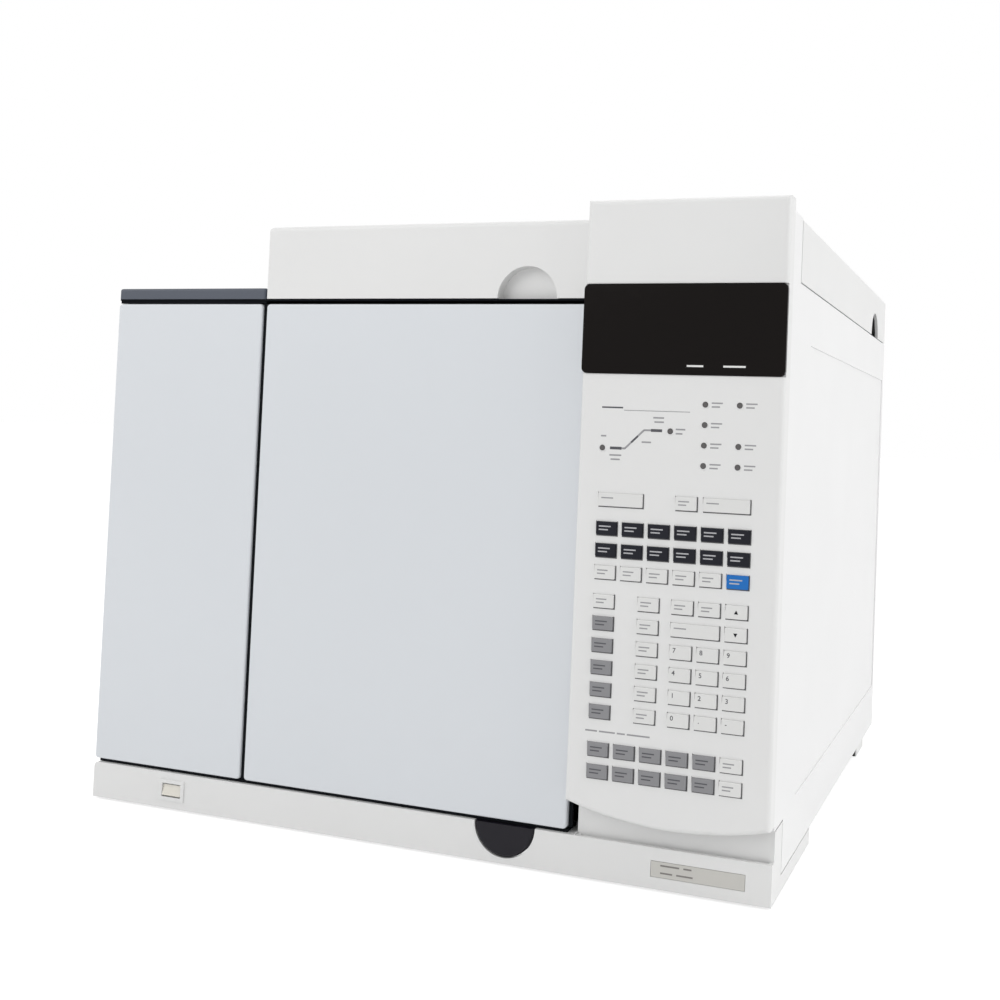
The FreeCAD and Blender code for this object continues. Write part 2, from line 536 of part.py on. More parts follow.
# ---------------------------------------------------------------- oven door
def make_door():
    """Two painted skins on a steel pan, with an insulated plug, a gasket, hinge pins and a striker."""
    for label, left, width in (("door_skin_left", "0", "left_skin_width"),
                               ("door_skin_right", "left_skin_width + seam",
                                "door_width - left_skin_width - seam")):
        skin = new_body(label + "_moulding")
        outline = front_sketch(skin, label + "_outline")
        rectangle(outline, left, "door_bottom", width, "door_top - door_bottom")
        blank = pad(skin, outline, "skin", reverse=True)
        rounded = round_edges(skin, blank, edges(blank, ALONG_Y), "door_corner")
        round_edges(skin, rounded, edges(rounded, ALONG_X, lambda point: point.y < 0.01)
                    + edges(rounded, ALONG_Z, lambda point: point.y < 0.01), "door_corner / 2")
        hollow = front_sketch(skin, label + "_hollow", "skin")
        rectangle(hollow, left + " + skin_rim", "door_bottom + skin_rim", width + " - 2 * skin_rim",
                  "door_top - door_bottom - 2 * skin_rim")
        pocket(skin, hollow, "skin - skin_wall", reverse=True)
        finish(skin, label)

    pan = new_body("door_pan")
    outline = front_sketch(pan, "door_pan_outline", "skin")
    rectangle(outline, "pan_inset", "door_bottom + pan_inset", "door_width - 2 * pan_inset",
              "door_top - door_bottom - 2 * pan_inset")
    blank = pad(pan, outline, "door_depth - skin", reverse=True)
    round_edges(pan, blank, edges(blank, ALONG_Z, lambda point: point.y > number("skin") + 1),
                "door_corner")
    inside = "(pan_inset + door_corner)"
    hollow = front_sketch(pan, "door_pan_hollow", "skin")
    rectangle(hollow, inside, "door_bottom + " + inside, "door_width - 2 * " + inside,
              "door_top - door_bottom - 2 * " + inside)
    pocket(pan, hollow, "door_depth - skin - pan_wall")
    finish(pan, "door_inner_pan")

    plug = new_body("door_plug")
    outline = front_sketch(plug, "door_plug_outline", "door_depth")
    floor = OVEN_FLOOR
    rectangle(outline, "cavity_left + plug_clearance", floor + " + plug_clearance",
              "cavity_width - 2 * plug_clearance", "cavity_height - 2 * plug_clearance")
    blank = pad(plug, outline, "plug_depth", reverse=True)
    rear = number("door_depth") + number("plug_depth")
    bevel_edges(plug, blank, edges(blank, ALONG_X, lambda point: point.y > rear - 0.01)
                + edges(blank, ALONG_Z, lambda point: point.y > rear - 0.01), "plug_taper")
    slab = box("door_wool", (inside + " + loose_gap", "skin + loose_gap", "door_bottom + loose_gap + " + inside),
               ("door_width - 2 * loose_gap - 2 * " + inside, "door_depth - skin - pan_wall - 2 * loose_gap",
                "door_top - door_bottom - 2 * loose_gap - 2 * " + inside))
    finish(group("door_plug_and_wool", [plug, slab]), "door_insulation")

    seal_out = box("seal_blank", ("cavity_left - gasket_width", "door_depth", floor + " - gasket_width"),
                   ("cavity_width + 2 * gasket_width", "oven_front_gap - gasket_gap",
                    "cavity_height + 2 * gasket_width"))
    seal_in = box("seal_inside", ("cavity_left + plug_clearance / 2", "door_depth - side_gap",
                                  floor + " + plug_clearance / 2"),
                  ("cavity_width - plug_clearance", "2 * oven_front_gap", "cavity_height - plug_clearance"))
    finish(cut("seal_ring", seal_out, seal_in), "door_gasket")

    low_leaf, high_leaf = "apron_height + loose_gap", "door_top + loose_gap"
    pan_bottom, pan_top = "door_bottom + pan_inset", "door_top - pan_inset"
    pins = [rod("hinge_pin", "Z", (HINGE_X, HINGE_Y, low_leaf), "pin_radius",
                "%s - (%s)" % (pan_bottom, low_leaf)),
            rod("hinge_pin", "Z", (HINGE_X, HINGE_Y, pan_top), "pin_radius",
                "%s + leaf_sheet - (%s)" % (high_leaf, pan_top))]
    finish(group("hinge_pin_pair", pins), "door_hinge_pins")

    leaves = []
    for level in (low_leaf, high_leaf):
        plate = box("hinge_leaf", ("panel_sheet", "skin + side_gap", level),
                    ("leaf_width", "door_depth + oven_front_gap - skin - side_gap", "leaf_sheet"))
        bore = rod("hinge_bore", "Z", (HINGE_X, HINGE_Y, level + " - side_gap"), "pin_radius + pin_fit",
                   "leaf_sheet + 2 * side_gap")
        leaves.append(cut("hinge_leaf_bored", plate, bore))
    finish(group("hinge_leaves", leaves), "hinge_brackets")

    hook = new_body("striker_hook")
    profile = sketch(hook, "striker_profile", "YZ", "latch_centre - striker_width / 2")
    back, low = "striker_front + striker_depth", "apron_height + striker_gap"
    polygon(profile, [("striker_front", pan_bottom), (back, pan_bottom), (back, low),
                      ("striker_front + striker_depth / 2", low),
                      ("striker_front", "(%s + %s) / 2" % (pan_bottom, low))])
    pad(hook, profile, "striker_width")
    return finish(hook, "door_striker")


# ---------------------------------------------------------------- oven
def oven_ports(margin, bottom, height):
    """Upright holes for the two inlets and two detectors, with a margin round each tube."""
    holes = []
    for left in ("inlet_left", "detector_left"):
        for row in ("port_front", "port_front + port_pitch"):
            holes.append(rod("port_hole", "Z", (left, row, bottom), "port_tube + " + margin, height))
    return group("port_holes", holes)


def make_oven_shell():
    """The steel liner, the insulation round it, the front frame and the deck on top."""
    left, floor = "cavity_left", OVEN_FLOOR
    liner_out = box("liner_blank", (left + " - liner_sheet", OVEN_FRONT, floor + " - liner_sheet"),
                    ("cavity_width + 2 * liner_sheet", "cavity_depth + plenum + liner_sheet",
                     "cavity_height + 2 * liner_sheet"))
    liner_in = box("liner_inside", (left, OVEN_FRONT + " - side_gap", floor),
                   ("cavity_width", "cavity_depth + plenum + side_gap", "cavity_height"))
    duct = box("liner_duct_hole", ("duct_left + duct_wall", OVEN_BACK + " - side_gap", "duct_bottom + duct_wall"),
               ("duct_width - 2 * duct_wall", "liner_sheet + 2 * side_gap", "duct_height - 2 * duct_wall"))
    shaft = rod("liner_shaft_hole", "Y", (MIDDLE_X, OVEN_BACK + " - side_gap", MIDDLE_Z),
                "shaft_radius + shaft_clearance", "liner_sheet + 2 * side_gap")
    ports = oven_ports("loose_gap", floor + " + cavity_height - side_gap", "liner_sheet + 2 * side_gap")
    finish(cut("liner_shell", liner_out, liner_in, duct, shaft, ports), "oven_liner")

    wool_out = box("wool_blank", (left + " - liner_sheet - insulation_wall", OVEN_FRONT, "foot_height + sheet"),
                   ("cavity_width + 2 * (liner_sheet + insulation_wall)",
                    "cavity_depth + plenum + liner_sheet + insulation_wall",
                    "insulation_below + cavity_height + 2 * liner_sheet + insulation_wall"))
    wool_in = box("wool_inside", (left + " - liner_sheet", OVEN_FRONT + " - side_gap",
                                  floor + " - liner_sheet"),
                  ("cavity_width + 2 * liner_sheet", "cavity_depth + plenum + liner_sheet + side_gap",
                   "cavity_height + 2 * liner_sheet"))
    wool_duct = box("wool_duct_hole", ("duct_left - loose_gap", OVEN_BACK, "duct_bottom - loose_gap"),
                    ("duct_width + 2 * loose_gap", "2 * insulation_wall", "duct_height + 2 * loose_gap"))
    wool_shaft = rod("wool_shaft_hole", "Y", (MIDDLE_X, OVEN_BACK, MIDDLE_Z),
                     "shaft_radius + shaft_clearance", "2 * insulation_wall")
    wool_ports = oven_ports("loose_gap", floor + " + cavity_height", "2 * insulation_wall")
    finish(cut("wool_shell", wool_out, wool_in, wool_duct, wool_shaft, wool_ports), "oven_insulation")

    frame = new_body("oven_front")
    outline = front_sketch(frame, "oven_front_outline", OVEN_FRONT)
    rectangle(outline, "panel_sheet", "foot_height + tray_lip", BAY_LEFT + " - panel_sheet",
              DECK_BOTTOM + " - foot_height - tray_lip")
    pad(frame, outline, "frame_sheet")
    mouth = front_sketch(frame, "oven_mouth", OVEN_FRONT)
    rectangle(mouth, left, floor, "cavity_width", "cavity_height")
    pocket(frame, mouth, "frame_sheet", reverse=True)
    finish(frame, "oven_front_frame")

    deck = box("deck_blank", ("panel_sheet + side_gap", OVEN_FRONT + " - frame_sheet", DECK_BOTTOM),
               (BAY_LEFT + " - panel_sheet - side_gap",
                "cabinet_depth - (%s) + frame_sheet" % OVEN_FRONT, "deck_sheet"))
    return finish(cut("deck_sheet_bored", deck,
                      oven_ports("loose_gap", DECK_BOTTOM + " - side_gap", "deck_sheet + 2 * side_gap")),
                  "oven_top_deck")


def make_fan_shroud():
    """The baffle across the back of the oven: a round grille of sector slots before the fan's eye,
    and a ring of long outlet slots that lead the air back out past the heater."""
    shroud = new_body("shroud_plate")
    outline = front_sketch(shroud, "shroud_outline", SHROUD_FACE)
    rectangle(outline, "cavity_left + shroud_gap", OVEN_FLOOR + " + shroud_gap",
              "cavity_width - 2 * shroud_gap", "cavity_height - 2 * shroud_gap")
    blank = pad(shroud, outline, "shroud_sheet", reverse=True)
    round_edges(shroud, blank, edges(blank, ALONG_Y), "outlet_slot")
    for name, start, end, width, count in (
            ("inner_slot", "grille_hub", "(grille_radius + grille_hub) / 2 - grille_slot / 3",
             "grille_slot * 0.7", 12),
            ("outer_slot", "(grille_radius + grille_hub) / 2 + grille_slot / 3", "grille_radius",
             "grille_slot", 24),
            ("outlet", "outlet_ring - outlet_length / 2", "outlet_ring + outlet_length / 2",
             "outlet_slot", 16)):
        drawing = front_sketch(shroud, name, SHROUD_FACE)
        bind(drawing, AttachmentOffset__Base__x=MIDDLE_X, AttachmentOffset__Base__y=MIDDLE_Z)
        polygon(drawing, [("(%s) / 2" % width, start), ("(%s) / 2" % width, end),
                          ("-(%s) / 2" % width, end), ("-(%s) / 2" % width, start)])
        slot = pocket(shroud, drawing, "shroud_sheet")
        ring = shroud.newObject("PartDesign::PolarPattern", name + "_ring")
        ring.Originals = [slot]
        ring.Axis = (drawing, ["N_Axis"])
        ring.Angle = 360
        ring.Occurrences = count
        shroud.Tip = ring
    probe = front_sketch(shroud, "probe_hole", SHROUD_FACE)
    circle(probe, (PROBE_X, PROBE_Z), "probe_radius + loose_gap")
    pocket(shroud, probe, "shroud_sheet")
    return finish(shroud, "fan_shroud")


def make_fan():
    """The stirring wheel: a back disc with radial blades on a hub, and its long shaft."""
    fan = new_body("fan_wheel")
    front = "(%s + fan_gap)" % SHROUD_FACE
    disc = front_sketch(fan, "fan_disc", front + " + fan_depth")
    circle(disc, (MIDDLE_X, MIDDLE_Z), "fan_radius")
    pad(fan, disc, "fan_disc")
    hub = front_sketch(fan, "fan_hub", front + " + fan_depth")
    circle(hub, (MIDDLE_X, MIDDLE_Z), "fan_hub")
    pad(fan, hub, "fan_depth")
    shaft = front_sketch(fan, "fan_shaft", front + " + fan_depth")
    circle(shaft, (MIDDLE_X, MIDDLE_Z), "shaft_radius")
    pad(fan, shaft, SHELL_BACK + " + flange_sheet + motor_nose - fan_depth - " + front, reverse=True)
    blade = front_sketch(fan, "fan_blade", front + " + fan_depth")
    bind(blade, AttachmentOffset__Base__x=MIDDLE_X, AttachmentOffset__Base__y=MIDDLE_Z)
    polygon(blade, [("blade_sheet / 2", "fan_hub - blade_sheet"),
                    ("blade_sheet / 2 + blade_sweep", "fan_radius - blade_sheet"),
                    ("-blade_sheet / 2 + blade_sweep", "fan_radius - blade_sheet"),
                    ("-blade_sheet / 2", "fan_hub - blade_sheet")])
    first = pad(fan, blade, "fan_depth")
    doc.recompute()
    ring = fan.newObject("PartDesign::PolarPattern", "fan_blades")
    ring.Originals = [first]
    ring.Axis = (blade, ["N_Axis"])
    ring.Angle = 360
    ring.Occurrences = 8
    fan.Tip = ring
    finish(fan, "oven_fan")

    motor = new_body("motor_case")
    flange = front_sketch(motor, "motor_flange", SHELL_BACK)
    rectangle(flange, MIDDLE_X + " - motor_flange / 2", MIDDLE_Z + " - motor_flange / 2", "motor_flange",
              "motor_flange")
    plate = pad(motor, flange, "flange_sheet", reverse=True)
    round_edges(motor, plate, edges(plate, ALONG_Y), "motor_flange / 10")
    case = front_sketch(motor, "motor_round", SHELL_BACK + " + flange_sheet")
    circle(case, (MIDDLE_X, MIDDLE_Z), "motor_radius")
    pad(motor, case, "motor_length", reverse=True)
    bore = front_sketch(motor, "motor_bore", SHELL_BACK)
    circle(bore, (MIDDLE_X, MIDDLE_Z), "shaft_radius + shaft_fit")
    pocket(motor, bore, "flange_sheet + motor_nose + side_gap")
    return finish(motor, "fan_motor")


def make_heater_and_probe():
    """Two heater rings on ceramic-sleeved posts round the fan, and the oven's temperature probe."""
    rings = []
    for turn in ("0", "heater_pitch"):
        ring = doc.addObject("Part::Torus", "heater_turn")
        ring.Placement.Rotation = TURNS["Y"]
        bind(ring, Radius1="heater_ring", Radius2="heater_wire")
        rings.append(place(ring, (MIDDLE_X, "%s - 2 * heater_pitch + %s" % (OVEN_BACK, turn), MIDDLE_Z)))
    posts = []
    for side, height in (("heater_ring", "0"), ("-heater_ring", "0"), ("0", "heater_ring"),
                         ("0", "-heater_ring")):
        posts.append(rod("heater_post", "Y", ("%s + %s" % (MIDDLE_X, side), OVEN_BACK + " - 2 * heater_pitch",
                                              "%s + %s" % (MIDDLE_Z, height)),
                         "heater_post", "2 * heater_pitch"))
    finish(fuse("heater_rings", *rings, *posts), "heater_coil")

    probe = rod("probe_rod", "Y", (PROBE_X, SHROUD_FACE + " - probe_reach", PROBE_Z), "probe_radius",
                "probe_reach + plenum")
    return finish(group("probe_single", [probe]), "temperature_sensor")


def make_column():
    """A wire cage on two hooks with a coil of capillary column, its ends led up to the roof."""
    front = "(%s - cage_gap - cage_depth)" % SHROUD_FACE
    wires = []
    for step in ("0", "cage_depth - 2 * cage_wire"):
        start = front + " + " + step
        hoop = rod("cage_hoop", "Y", (MIDDLE_X, start, MIDDLE_Z), "cage_radius + cage_wire", "2 * cage_wire")
        inside = rod("cage_hoop_inside", "Y", (MIDDLE_X, start + " - side_gap", MIDDLE_Z),
                     "cage_radius - cage_wire", "2 * cage_wire + 2 * side_gap")
        wires.append(cut("cage_ring", hoop, inside))
    spokes = 6
    for spoke in range(spokes):
        angle = "(%s * 360 / %s + 30) * 1deg" % (spoke, spokes)
        wires.append(rod("cage_bar", "Y", ("%s + cage_radius * cos(%s)" % (MIDDLE_X, angle),
                                           front + " + cage_wire",
                                           "%s + cage_radius * sin(%s)" % (MIDDLE_Z, angle)),
                         "cage_rod", "cage_depth - 2 * cage_wire"))
    for side in ("hook_spread", "-hook_spread"):
        reach = "sqrt(cage_radius ^ 2 - hook_spread ^ 2)"
        wires.append(rod("cage_hook", "Y", ("%s + %s" % (MIDDLE_X, side), front + " + cage_depth - cage_wire",
                                            "%s + %s" % (MIDDLE_Z, reach)),
                         "cage_rod", "cage_gap + cage_wire"))
    finish(fuse("cage_wires", *wires), "column_cage")

    coil = new_body("column_turns")
    section = sketch(coil, "coil_section", "XY")
    inner, outer = "cage_radius + cage_wire + loose_gap", "cage_radius + cage_wire + loose_gap + coil_build"
    near, far = front + " + coil_margin", front + " + cage_depth - coil_margin"
    soft = "coil_build / 3"
    bind(section, AttachmentOffset__Base__x=MIDDLE_X, AttachmentOffset__Base__z=MIDDLE_Z)
    polygon(section, [(inner, near), (outer + " - " + soft, near), (outer, near + " + " + soft),
                      (outer, far + " - " + soft), (outer + " - " + soft, far), (inner, far)])
    revolve(coil, section)
    leads = []
    for left, side in (("inlet_left", "-1"), ("detector_left", "1")):
        drop = "sqrt((%s) ^ 2 - (%s - %s) ^ 2)" % (outer + " + lead_gap", left, MIDDLE_X)
        start = "%s + %s" % (MIDDLE_Z, drop)
        leads.append(rod("coil_lead", "Z", (left, "port_front + port_pitch", start), "lead_radius",
                         "%s + cavity_height - port_drop - (%s)" % (OVEN_FLOOR, start)))
    return finish(group("column_with_leads", [coil] + leads), "column_coil")


# ---------------------------------------------------------------- inlets, detectors and modules
def turned(name, left, row, steps):
    """A round piece from a list of (radius, length) steps, stacked upwards from the column's nut."""
    piece = new_body(name)
    drawing = sketch(piece, name + "_profile", "XZ", "-(%s)" % row)
    bind(drawing, AttachmentOffset__Base__x=left,
         AttachmentOffset__Base__y=OVEN_FLOOR + " + cavity_height - port_drop")
    level = "0"
    points = [("0", level)]
    for radius, length in steps:
        points.append((radius, level))
        level = "%s + %s" % (level, length)
        points.append((radius, level))
    points.append(("0", level))
    polygon(drawing, points)
    revolve(piece, drawing)
    return piece


def make_ports():
    """Two split inlets with septum nuts and two flame detectors, clamped through the oven's roof."""
    down = "lid_bottom - %s - cavity_height" % OVEN_FLOOR
    for label, row in (("front", "port_front"), ("back", "port_front + port_pitch")):
        finish(turned(label + "_inlet_body", "inlet_left", row,
                      [("port_nut / 2", "port_drop / 2"), ("port_tube", "port_drop / 2 + " + down),
                       ("port_flange", "port_flange_sheet"), ("inlet_radius", "inlet_height - septum_height"),
                       ("septum_nut", "septum_height")]), label + "_inlet")
        finish(turned(label + "_detector_body", "detector_left", row,
                      [("port_nut / 2", "port_drop / 2"), ("port_tube", "port_drop / 2 + " + down),
                       ("port_flange", "port_flange_sheet"),
                       ("detector_radius", "detector_height - collector_height"),
                       ("collector_radius", "collector_height")]), label + "_detector")


def make_gas_train():
    """Two flow-control modules on the deck and the row of gas fittings behind them."""
    modules = []
    back = "cabinet_depth - cover_wall - module_back_gap"
    for step in ("0", "module_step"):
        left = "module_left + " + step
        block = box("module_block", (left, "module_front", "lid_bottom"),
                    ("module_width", back + " - module_front", "module_height - module_lid"))
        cap = box("module_cap", (left + " + module_lid", "module_front + module_lid",
                                 "lid_bottom + module_height - module_lid"),
                  ("module_width - 2 * module_lid", back + " - module_front - 2 * module_lid", "module_lid"))
        modules.append(fuse("module_solid", block, cap))
    finish(group("module_pair", modules), "pneumatics_modules")

    fittings = []
    level = "lid_bottom + fitting_height"
    for step in range(6):
        centre = "fitting_left + fitting_pitch * %d" % step
        shank = rod("fitting_shank", "Y", (centre, back, level), "fitting_shank",
                    "cover_wall + module_back_gap + fitting_nut")
        nut = doc.addObject("Part::Prism", "fitting_hexagon")
        nut.Polygon = 6
        nut.Placement.Rotation = TURNS["Y"]
        bind(nut, Circumradius="fitting_hex", Height="fitting_nut")
        place(nut, (centre, "cabinet_depth", level))
        thread = rod("fitting_thread", "Y", (centre, "cabinet_depth + fitting_nut", level), "fitting_thread",
                     "fitting_reach - fitting_nut")
        fittings.append(fuse("fitting_turned", shank, nut, thread))
    return finish(group("fitting_row", fittings), "gas_fittings")


# ---------------------------------------------------------------- exhaust
def make_exhaust():
    """The sheet duct from the oven to the back, and the damper flap that turns in it."""
    start = OVEN_BACK + " + liner_sheet"
    pivot_y, pivot_z = "(cabinet_depth - flap_inset)", "(duct_bottom + duct_height / 2)"
    outer = box("duct_blank", ("duct_left", start, "duct_bottom"),
                ("duct_width", "cabinet_depth - (%s)" % start, "duct_height"))
    inner = box("duct_inside", ("duct_left + duct_wall", start + " - side_gap", "duct_bottom + duct_wall"),
                ("duct_width - 2 * duct_wall", "cabinet_depth", "duct_height - 2 * duct_wall"))
    bore = rod("duct_pivot_holes", "X", ("duct_left - side_gap", pivot_y, pivot_z), "flap_pin + shaft_fit",
               "duct_width + 2 * side_gap")
    finish(cut("duct_tube", outer, inner, bore), "exhaust_duct")

    plate = box("flap_plate", ("duct_left + duct_wall + flap_gap", pivot_y + " - flap_sheet / 2",
                               "duct_bottom + duct_wall + flap_gap"),
                ("duct_width - 2 * duct_wall - 2 * flap_gap", "flap_sheet",
                 "duct_height - 2 * duct_wall - 2 * flap_gap"))
    axle = rod("flap_axle", "X", ("duct_left - flap_pin", pivot_y, pivot_z), "flap_pin",
               "duct_width + 2 * flap_pin")
    return finish(fuse("flap_with_axle", plate, axle), "exhaust_flap")


# ---------------------------------------------------------------- covers on top
def tray_cover(name, left, front, bottom, width, depth, height, wall, corner, rounded_along):
    """A folded or moulded cover, open underneath, with its outer edges rounded."""
    cover = new_body(name)
    outline = sketch(cover, name + "_outline", "XY", bottom)
    rectangle(outline, left, front, width, depth)
    blank = pad(cover, outline, height)
    doc.recompute()
    top = blank.Shape.BoundBox.ZMax
    names = []
    for direction in rounded_along:
        names += edges(blank, direction, lambda point: direction == ALONG_Z or point.z > top - 0.01)
    round_edges(cover, blank, names, corner)
    inside = sketch(cover, name + "_inside", "XY", bottom)
    rectangle(inside, "%s + %s" % (left, wall), "%s + %s" % (front, wall), "%s - 2 * %s" % (width, wall),
              "%s - 2 * %s" % (depth, wall))
    pocket(cover, inside, "%s - %s" % (height, wall), reverse=True)
    return cover


def make_lid():
    """The lid over the inlets and detectors, with a half-round finger scoop in its front."""
    left = "left_skin_width + seam"
    lid = tray_cover("lid_shell", left, "0", "lid_bottom + loose_gap", "door_width - left_skin_width - seam",
                     "lid_depth", "lid_height - loose_gap", "lid_wall", "lid_corner", (ALONG_Y, ALONG_X))
    bowl = front_sketch(lid, "scoop_bowl")
    circle(bowl, ("latch_centre", "lid_bottom"), "scoop_radius + lid_wall")
    pad(lid, bowl, "scoop_depth", reverse=True)
    scoop = front_sketch(lid, "scoop")
    circle(scoop, ("latch_centre", "lid_bottom"), "scoop_radius")
    pocket(lid, scoop, "scoop_depth - lid_wall")
    below = front_sketch(lid, "scoop_below")
    rectangle(below, "latch_centre - 2 * scoop_radius", "lid_bottom + loose_gap - 2 * scoop_radius",
              "4 * scoop_radius", "2 * scoop_radius")
    pocket(lid, below, "2 * scoop_depth")
    return finish(lid, "inlet_lid")


def make_fixed_covers():
    """The fixed cover behind the lid with its hinge barrel, and the plate on top of the left side."""
    left, width = "left_skin_width + seam", "door_width - left_skin_width - seam"
    front = "lid_depth + lid_gap"
    rear = tray_cover("rear_cover_shell", left, front, "lid_bottom", width, "cabinet_depth - lid_depth - lid_gap",
                      "lid_height", "cover_wall", "lid_corner", (ALONG_Y,))
    barrel = rod("lid_barrel", "X", (left + " + lid_corner", "lid_depth + lid_pin + loose_gap", LID_TOP),
                 "lid_pin", width + " - 2 * lid_corner")
    holes = []
    for step in range(6):
        holes.append(rod("fitting_hole", "Y", ("fitting_left + fitting_pitch * %d" % step,
                                               "cabinet_depth - 2 * cover_wall", "lid_bottom + fitting_height"),
                         "fitting_shank + fitting_fit", "3 * cover_wall"))
    finish(cut("rear_cover_bored", fuse("rear_cover_solid", rear, barrel), group("fitting_holes", holes)),
           "rear_top_cover")

    plate = tray_cover("left_plate_shell", "0", "0", "lid_bottom", "left_skin_width + seam - left_top_gap",
                       "cabinet_depth", "left_top_height", "sheet", "left_top_corner / 2",
                       (ALONG_Y, ALONG_X, ALONG_Z))
    return finish(plate, "left_top_cover")


def make_electronics_cover():
    """The lift-off cover over the electronics bay, with a half-round finger notch low on its side."""
    left = BAY_LEFT
    depth = "cabinet_depth - cover_front"
    cover = tray_cover("bay_cover_shell", left, "cover_front", "cover_bottom", "cabinet_width - " + left, depth,
                       "column_top - cover_bottom", "cover_wall", "lid_corner / 2", (ALONG_Y,))
    inner = sketch(cover, "bay_cover_left_side", "XY", "cover_bottom")
    rectangle(inner, left, "cover_front", "cover_wall + side_gap", depth)
    pocket(cover, inner, "column_top - cover_bottom - cover_wall", reverse=True)
    notch = sketch(cover, "bay_cover_notch", "YZ", "cabinet_width")
    circle(notch, ("cabinet_depth - cover_notch_inset", "cover_bottom"), "cover_notch")
    pocket(cover, notch, "cover_wall")
    return finish(cover, "electronics_cover")


# ---------------------------------------------------------------- keypad column
def chin_block(name, inset, front, depth):
    """The keypad column's outline, straight at the sides and top with a wide arc for its chin."""
    block = new_body(name)
    outline = front_sketch(block, name + "_outline", front)
    rectangle(outline, "bezel_left + " + inset, "chin_height", "bezel_width - 2 * " + inset,
              "bezel_top - chin_height - " + inset)
    solid = pad(block, outline, depth, reverse=True)
    doc.recompute()
    around = front_sketch(block, name + "_chin", front)
    rectangle(around, "bezel_left - 2 * chin_radius", "chin_height - chin_radius", "5 * chin_radius",
              "4 * chin_radius")
    circle(around, ("bezel_left + chin_offset", "chin_height + chin_radius"), "chin_radius - " + inset)
    trimmed = pocket(block, around, depth)
    return block, trimmed


STEPS = ["0", "block_step", "row_pitch", "row_pitch", "block_step"] + 5 * ["row_pitch"] + ["lower_step",
                                                                                            "row_pitch"]
ROWS = {row: "first_row - (%s)" % " + ".join(STEPS[:count])
        for count, row in enumerate("ABCDEFGHIJKL", start=1)}

# Each key is its row, its column and its width. Column 9 is the edit block's second column.
ONE, TOP, WIDE = "key_width", "top_key_width", "key_width + column_pitch"
EDIT_ROWS = "FGHIJ"
KEYS = {
    "stop_key": [("A", 0.5, TOP)],
    "prep_key": [("A", 3, ONE)],
    "start_key": [("A", 4.5, TOP)],
    "menu_keys": [(row, column, ONE) for row in "BC" for column in range(6)],
    "white_keys": [("D", column, ONE) for column in range(5)] + [("E", 0, ONE), ("E", 3, ONE), ("E", 4, ONE)]
                  + [(row, 9, ONE) for row in "E" + EDIT_ROWS] + [("K", 5, ONE), ("L", 5, ONE)],
    "info_key": [("D", 5, ONE)],
    "arrow_keys": [("E", 5, ONE), ("F", 5, ONE)],
    "enter_key": [("F", 3.5, WIDE)],
    "number_keys": [(row, column, ONE) for row in EDIT_ROWS[1:] for column in (3, 4, 5)],
    "grey_keys": [(row, 0, ONE) for row in EDIT_ROWS] + [(row, column, ONE) for row in "KL"
                                                         for column in range(5)],
}


def key_centre(row, column):
    """Where a key's middle lies across and up the column."""
    across = "second_column" if column == 9 else "%s * column_pitch" % column
    return "bezel_left + keys_left + " + across, ROWS[row]


def key_hole(row, column, width):
    """The aperture of one key through the bezel's face."""
    across, level = key_centre(row, column)
    return box("key_hole", ("%s - (%s) / 2" % (across, width), BEZEL_FRONT + " - side_gap",
                            level + " - key_height / 2"),
               (width, "bezel_wall + 2 * side_gap", "key_height"))


def key_cap(row, column, width):
    """One key: a block with a little draft towards its face."""
    across, level = key_centre(row, column)
    cap = doc.addObject("Part::Wedge", "key_cap")
    half_width = "((%s) / 2 - key_clearance)" % width
    half_height = "(key_height / 2 - key_clearance)"
    bind(cap, Ymin="0", Ymax="key_depth",
         Xmin="-%s + key_draft" % half_width, Xmax=half_width + " - key_draft",
         Zmin="-%s + key_draft" % half_height, Zmax=half_height + " - key_draft",
         X2min="-" + half_width, X2max=half_width, Z2min="-" + half_height, Z2max=half_height)
    return place(cap, (across, BEZEL_FRONT + " - key_stand", level))


def lamp_places():
    """Across and up, where each status lamp sits."""
    left = "bezel_left + lamp_left"
    grid = [(0, 0), (0, 1), (0, 2), (0, 3), (1, 0), (1, 1), (1, 3)]
    spots = [("%s + %d * lamp_column" % (left, column), "lamp_bottom + %d * lamp_row" % row)
             for column, row in grid]
    return spots + [("bezel_left + low_lamp_left", "low_lamp_height"),
                    ("bezel_left + high_lamp_left", "high_lamp_height")]


